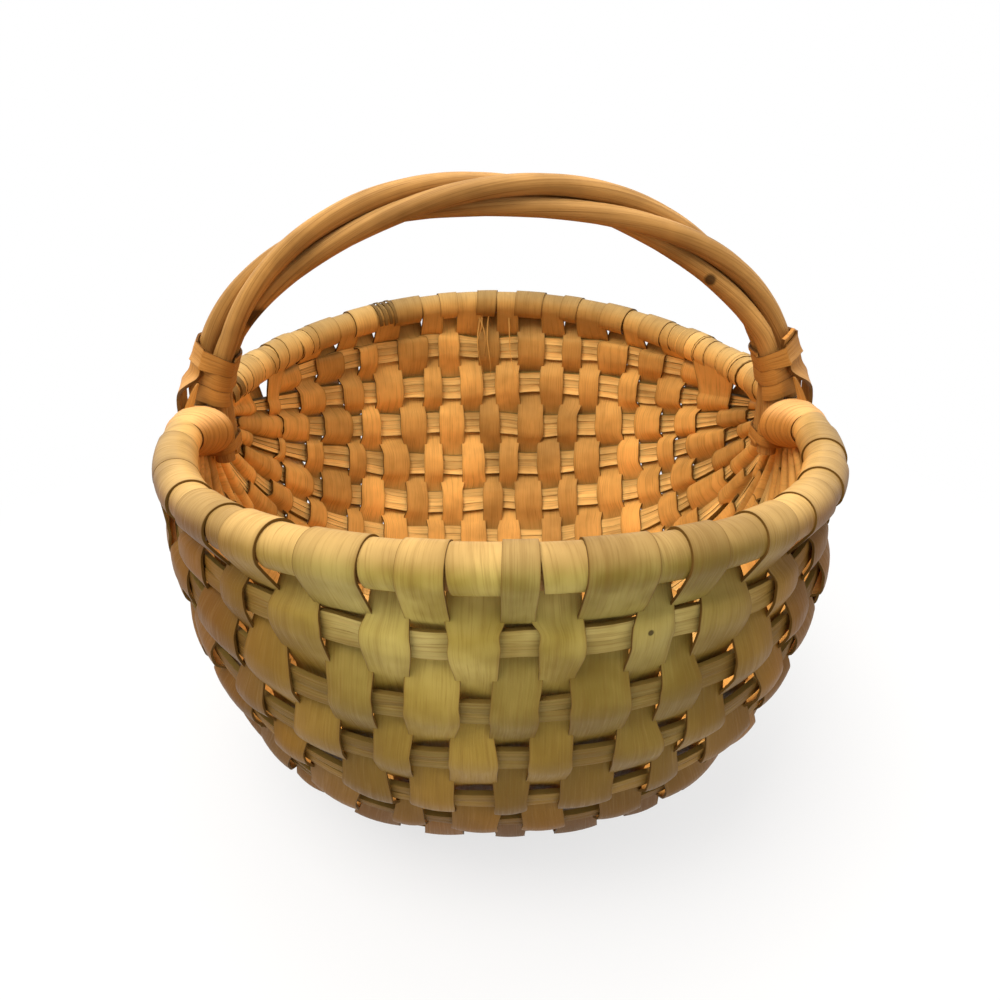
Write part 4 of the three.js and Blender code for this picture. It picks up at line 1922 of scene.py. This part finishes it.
    def rim_wrap(self) -> Strip:
        """Lay the splint wound round the rim in front of the leg, bulky there and slim further on.

        Returns:
            The wrap.
        """
        form = self.form
        base = form.rim_radius + form.clearance + self.wrap_lift
        rows = []
        for step in range(self.wrap_turns * self.wrap_steps + 1):
            angle = self.wrap_angle + math.tau * step / self.wrap_steps
            middle = self.wrap_start + self.wrap_pitch * step / self.wrap_steps
            row = []
            for side in ACROSS:
                from_ear = min(middle + side * self.wrap_width / 2, form.ear_gap + self.wrap_past)
                arc = from_ear if self.ear is Ear.LEFT else form.rim_arc.total - from_ear
                point, outward, up = form.rim_frame(form.rim_x(arc), Half.FRONT)
                slim = smooth(from_ear, self.wrap_slim_start, form.ear_gap + self.wrap_slim_past)
                bulk = 1 - self.wrap_slimming * slim
                height = base + self.wrap_lean * (1 - side) + self.crown * (1 - side * side)
                wide, tall = (
                    (height + more * bulk) * turn(angle) - inset * bulk
                    for more, inset, turn in zip(self.wrap_bulk, self.wrap_inset, (math.cos, math.sin)))
                row.append(point + outward * wide + up * tall)
            rows.append(row)
        return Strip(form, self.wrap_tone, rows, self.thickness * self.thinned)

    def sliver(self) -> Strip:
        """Stand up the pointed end of splint in front of the leg.

        Returns:
            The sliver.
        """
        rows = []
        for step in range(self.sliver_rows + 1):
            share = step / self.sliver_rows
            half = self.sliver_half * (1 - share) ** self.sliver_point + self.sliver_tip
            out = lerp(*self.sliver_outs, share)
            height = lerp(*self.sliver_heights, share)
            row = []
            for side in (-1.0, 0.0, 1.0):
                backward = self.sliver_bow * abs(side) - self.sliver_forward
                row.append(self.leg_place(height, out + side * half, backward))
            rows.append(row)
        return Strip(self.form, self.sliver_tone, rows, self.sliver_thickness)

    def build(self) -> None:
        """Make the strap, the windings and the rim's wrapping."""
        solids = {
            "ear_strap": [self.strap()],
            "leg_winding": [self.winding(self.leg_width, self.leg_turns, 1, self.turns_under_strap)],
            "foot_winding": [self.winding(self.foot_width, self.foot_turns, -1, 0)],
            "ear_wrap": [self.rim_wrap(), self.sliver()],
        }
        for name, strips in solids.items():
            node = f"{name}_{self.label}"
            Piece(f"{node}_splint", Slot.BINDING, node).add(*strips).finish(self.finish)


@dataclass(frozen=True)
class Lamp:
    """A soft square lamp. Metres and watts."""

    name: str
    place: Place
    size: float
    power: float
    colour: Colour

    def build(self, aim: Place) -> None:
        """Hang the lamp.

        Args:
            aim: The point it looks at.
        """
        data = bpy.data.lights.new(self.name, "AREA")
        data.size = self.size
        data.energy = self.power
        data.color = self.colour
        lamp = add_object(self.name, data)
        lamp.location = self.place
        lamp.rotation_euler = (Vector(aim) - Vector(self.place)).to_track_quat("-Z", "Y").to_euler()


@dataclass(frozen=True)
class Studio:
    """Camera, soft light and a plain pale floor. The eye in millimetres, the rest in metres."""

    eye: Place = (-13.0, -382.7, 318.1)
    pitch: float = 0.464
    yaw: float = -0.036
    lens: float = 28.8
    sensor: float = 36.0
    nearest: float = 0.01
    sky: float = 0.62
    floor_size: float = 6.0
    floor_drop: float = 0.0004
    floor_colour: tuple[float, float, float, float] = (0.82, 0.82, 0.82, 1.0)
    shadow_reach: Span = (0.15, 0.5)
    shadow_share: float = 0.28
    aim: Place = (0.0, 0.0, 0.12)
    lamps: tuple[Lamp, ...] = (
        Lamp("key", (-0.42, -0.5, 1.27), 0.7, 14.0, (1.0, 0.96, 0.90)),
        Lamp("fill", (0.8, -0.75, 0.6), 0.9, 1.2, (1.0, 0.96, 0.90)),
        Lamp("top", (0.0, 0.2, 1.3), 0.8, 8.8, (1.0, 0.93, 0.84)),
    )

    def camera(self) -> None:
        """Set the camera at the photograph's viewing angle."""
        data = bpy.data.cameras.new("camera")
        data.lens = self.lens
        data.sensor_width = self.sensor
        data.clip_start = self.nearest
        camera = add_object("camera", data)
        camera.location = Vector(self.eye) * MM
        camera.rotation_euler = (math.pi / 2 - self.pitch, 0.0, self.yaw)
        bpy.context.scene.camera = camera

    def world(self) -> None:
        """Light the scene softly all round, with a white background to the camera."""
        world = bpy.data.worlds.new("studio")
        graph = Graph(world, "ShaderNodeOutputWorld")
        strength = graph.seen() * (1 - self.sky) + self.sky
        graph.surface("ShaderNodeBackground", {"Color": WHITE, "Strength": strength})
        bpy.context.scene.world = world

    def floor_paint(self) -> bpy.types.Material:
        """Make the floor's paint, which is white to the camera and keeps a faint shadow near the basket.

        Returns:
            The material.
        """
        material = bpy.data.materials.new("pale floor")
        graph = Graph(material, "ShaderNodeOutputMaterial")
        place = graph.node("ShaderNodeTexCoord", {}, {}).outputs["Object"]
        far = graph.node("ShaderNodeVectorMath", {"operation": "LENGTH"}, {0: place})
        clear = graph.number(far, "Value").between(*self.shadow_reach)
        glow = clear * self.shadow_share + (1 - self.shadow_share)
        paint = graph.node("ShaderNodeBsdfDiffuse", {}, {"Color": self.floor_colour})
        white = graph.node("ShaderNodeEmission", {}, {"Color": WHITE})
        graph.surface("ShaderNodeMixShader", {
            0: glow * graph.seen(), 1: paint.outputs[0], 2: white.outputs[0]})
        return material

    def floor(self) -> None:
        """Lay the floor."""
        mesh = bmesh.new()
        bmesh.ops.create_grid(mesh, x_segments=1, y_segments=1, size=self.floor_size / 2)
        bmesh.ops.translate(mesh, verts=mesh.verts, vec=(0.0, 0.0, -self.floor_drop))
        data = bpy.data.meshes.new("floor")
        mesh.to_mesh(data)
        mesh.free()
        data.materials.append(self.floor_paint())
        floor = add_object("floor", data)

    def build(self) -> None:
        """Set up camera, world, floor and lamps."""
        bpy.context.scene.view_settings.view_transform = "Standard"
        self.camera()
        self.world()
        self.floor()
        for lamp in self.lamps:
            lamp.build(self.aim)


# The brighter inner tones and the pale, crown and low colours carry painted light and shade, as set out in
# WoodFinish.
SPLINT = WoodFinish(
    "woven splint", outer=(0.245, 0.180, 0.030), inner=(0.640, 0.325, 0.080), pale=(0.420, 0.335, 0.100),
    crown=(0.450, 0.285, 0.100), streak=(0.150, 0.070, 0.012), low=(0.147, 0.059, 0.0075),
    wall=(0.125, 0.063, 0.013), fibres=26.0, run=5.0, roughness=0.5, relief=0.35, streaks=0.38,
    spots=(Spot((0.0429, -0.1746, 0.1654), 0.0011),))
RIB_WOOD = WoodFinish(
    "split rib wood", outer=(0.300, 0.225, 0.055), inner=(0.850, 0.520, 0.165), pale=(0.470, 0.380, 0.140),
    crown=(0.600, 0.340, 0.120), streak=(0.160, 0.062, 0.011), low=(0.170, 0.080, 0.012),
    wall=(0.180, 0.115, 0.028), fibres=8.0, run=2.5, roughness=0.65, relief=0.7, streaks=0.55)
ROD_WOOD = WoodFinish(
    "peeled rod wood", outer=(0.350, 0.170, 0.045), inner=(0.370, 0.170, 0.042),
    pale=(0.350, 0.170, 0.045), crown=(0.520, 0.290, 0.100), streak=(0.120, 0.045, 0.009),
    low=(0.430, 0.210, 0.052), wall=(0.120, 0.045, 0.009), fibres=18.0, run=1.6, roughness=0.5,
    relief=0.6, streaks=0.65, edge=0.0, wall_share=0.0,
    spots=(Spot((-0.1157, 0.002, 0.2245), 0.0075), Spot((0.099, -0.0054, 0.2426), 0.0035)))
BINDING = WoodFinish(
    "wound splint", outer=(0.370, 0.157, 0.031), inner=(0.380, 0.160, 0.031), pale=(0.400, 0.175, 0.036),
    crown=(0.620, 0.340, 0.125), streak=(0.190, 0.070, 0.013), low=(0.390, 0.165, 0.032),
    wall=(0.150, 0.062, 0.013), fibres=24.0, run=4.0, roughness=0.55, relief=0.5, streaks=0.55)


def main() -> None:
    """Build the basket and the studio."""
    form = BowlForm()
    splint, rib_wood, rod_wood, binding = (
        finish.material() for finish in (SPLINT, RIB_WOOD, ROD_WOOD, BINDING))
    Studio().build()
    RimHoop(form, rod_wood).build()
    RibSet(form, rib_wood).build()
    WeaverSet(form, splint).build()
    handle = Handle(form, rod_wood)
    handle.build()
    EarBinding(form, handle, Ear.LEFT, binding).build()
    EarBinding(form, handle, Ear.RIGHT, binding, strap_top=38.5, strap_curl=3.0, strap_taper=0.15).build()


if __name__ == "__main__":
    logging.basicConfig(level=logging.INFO, format="%(message)s")
    main()
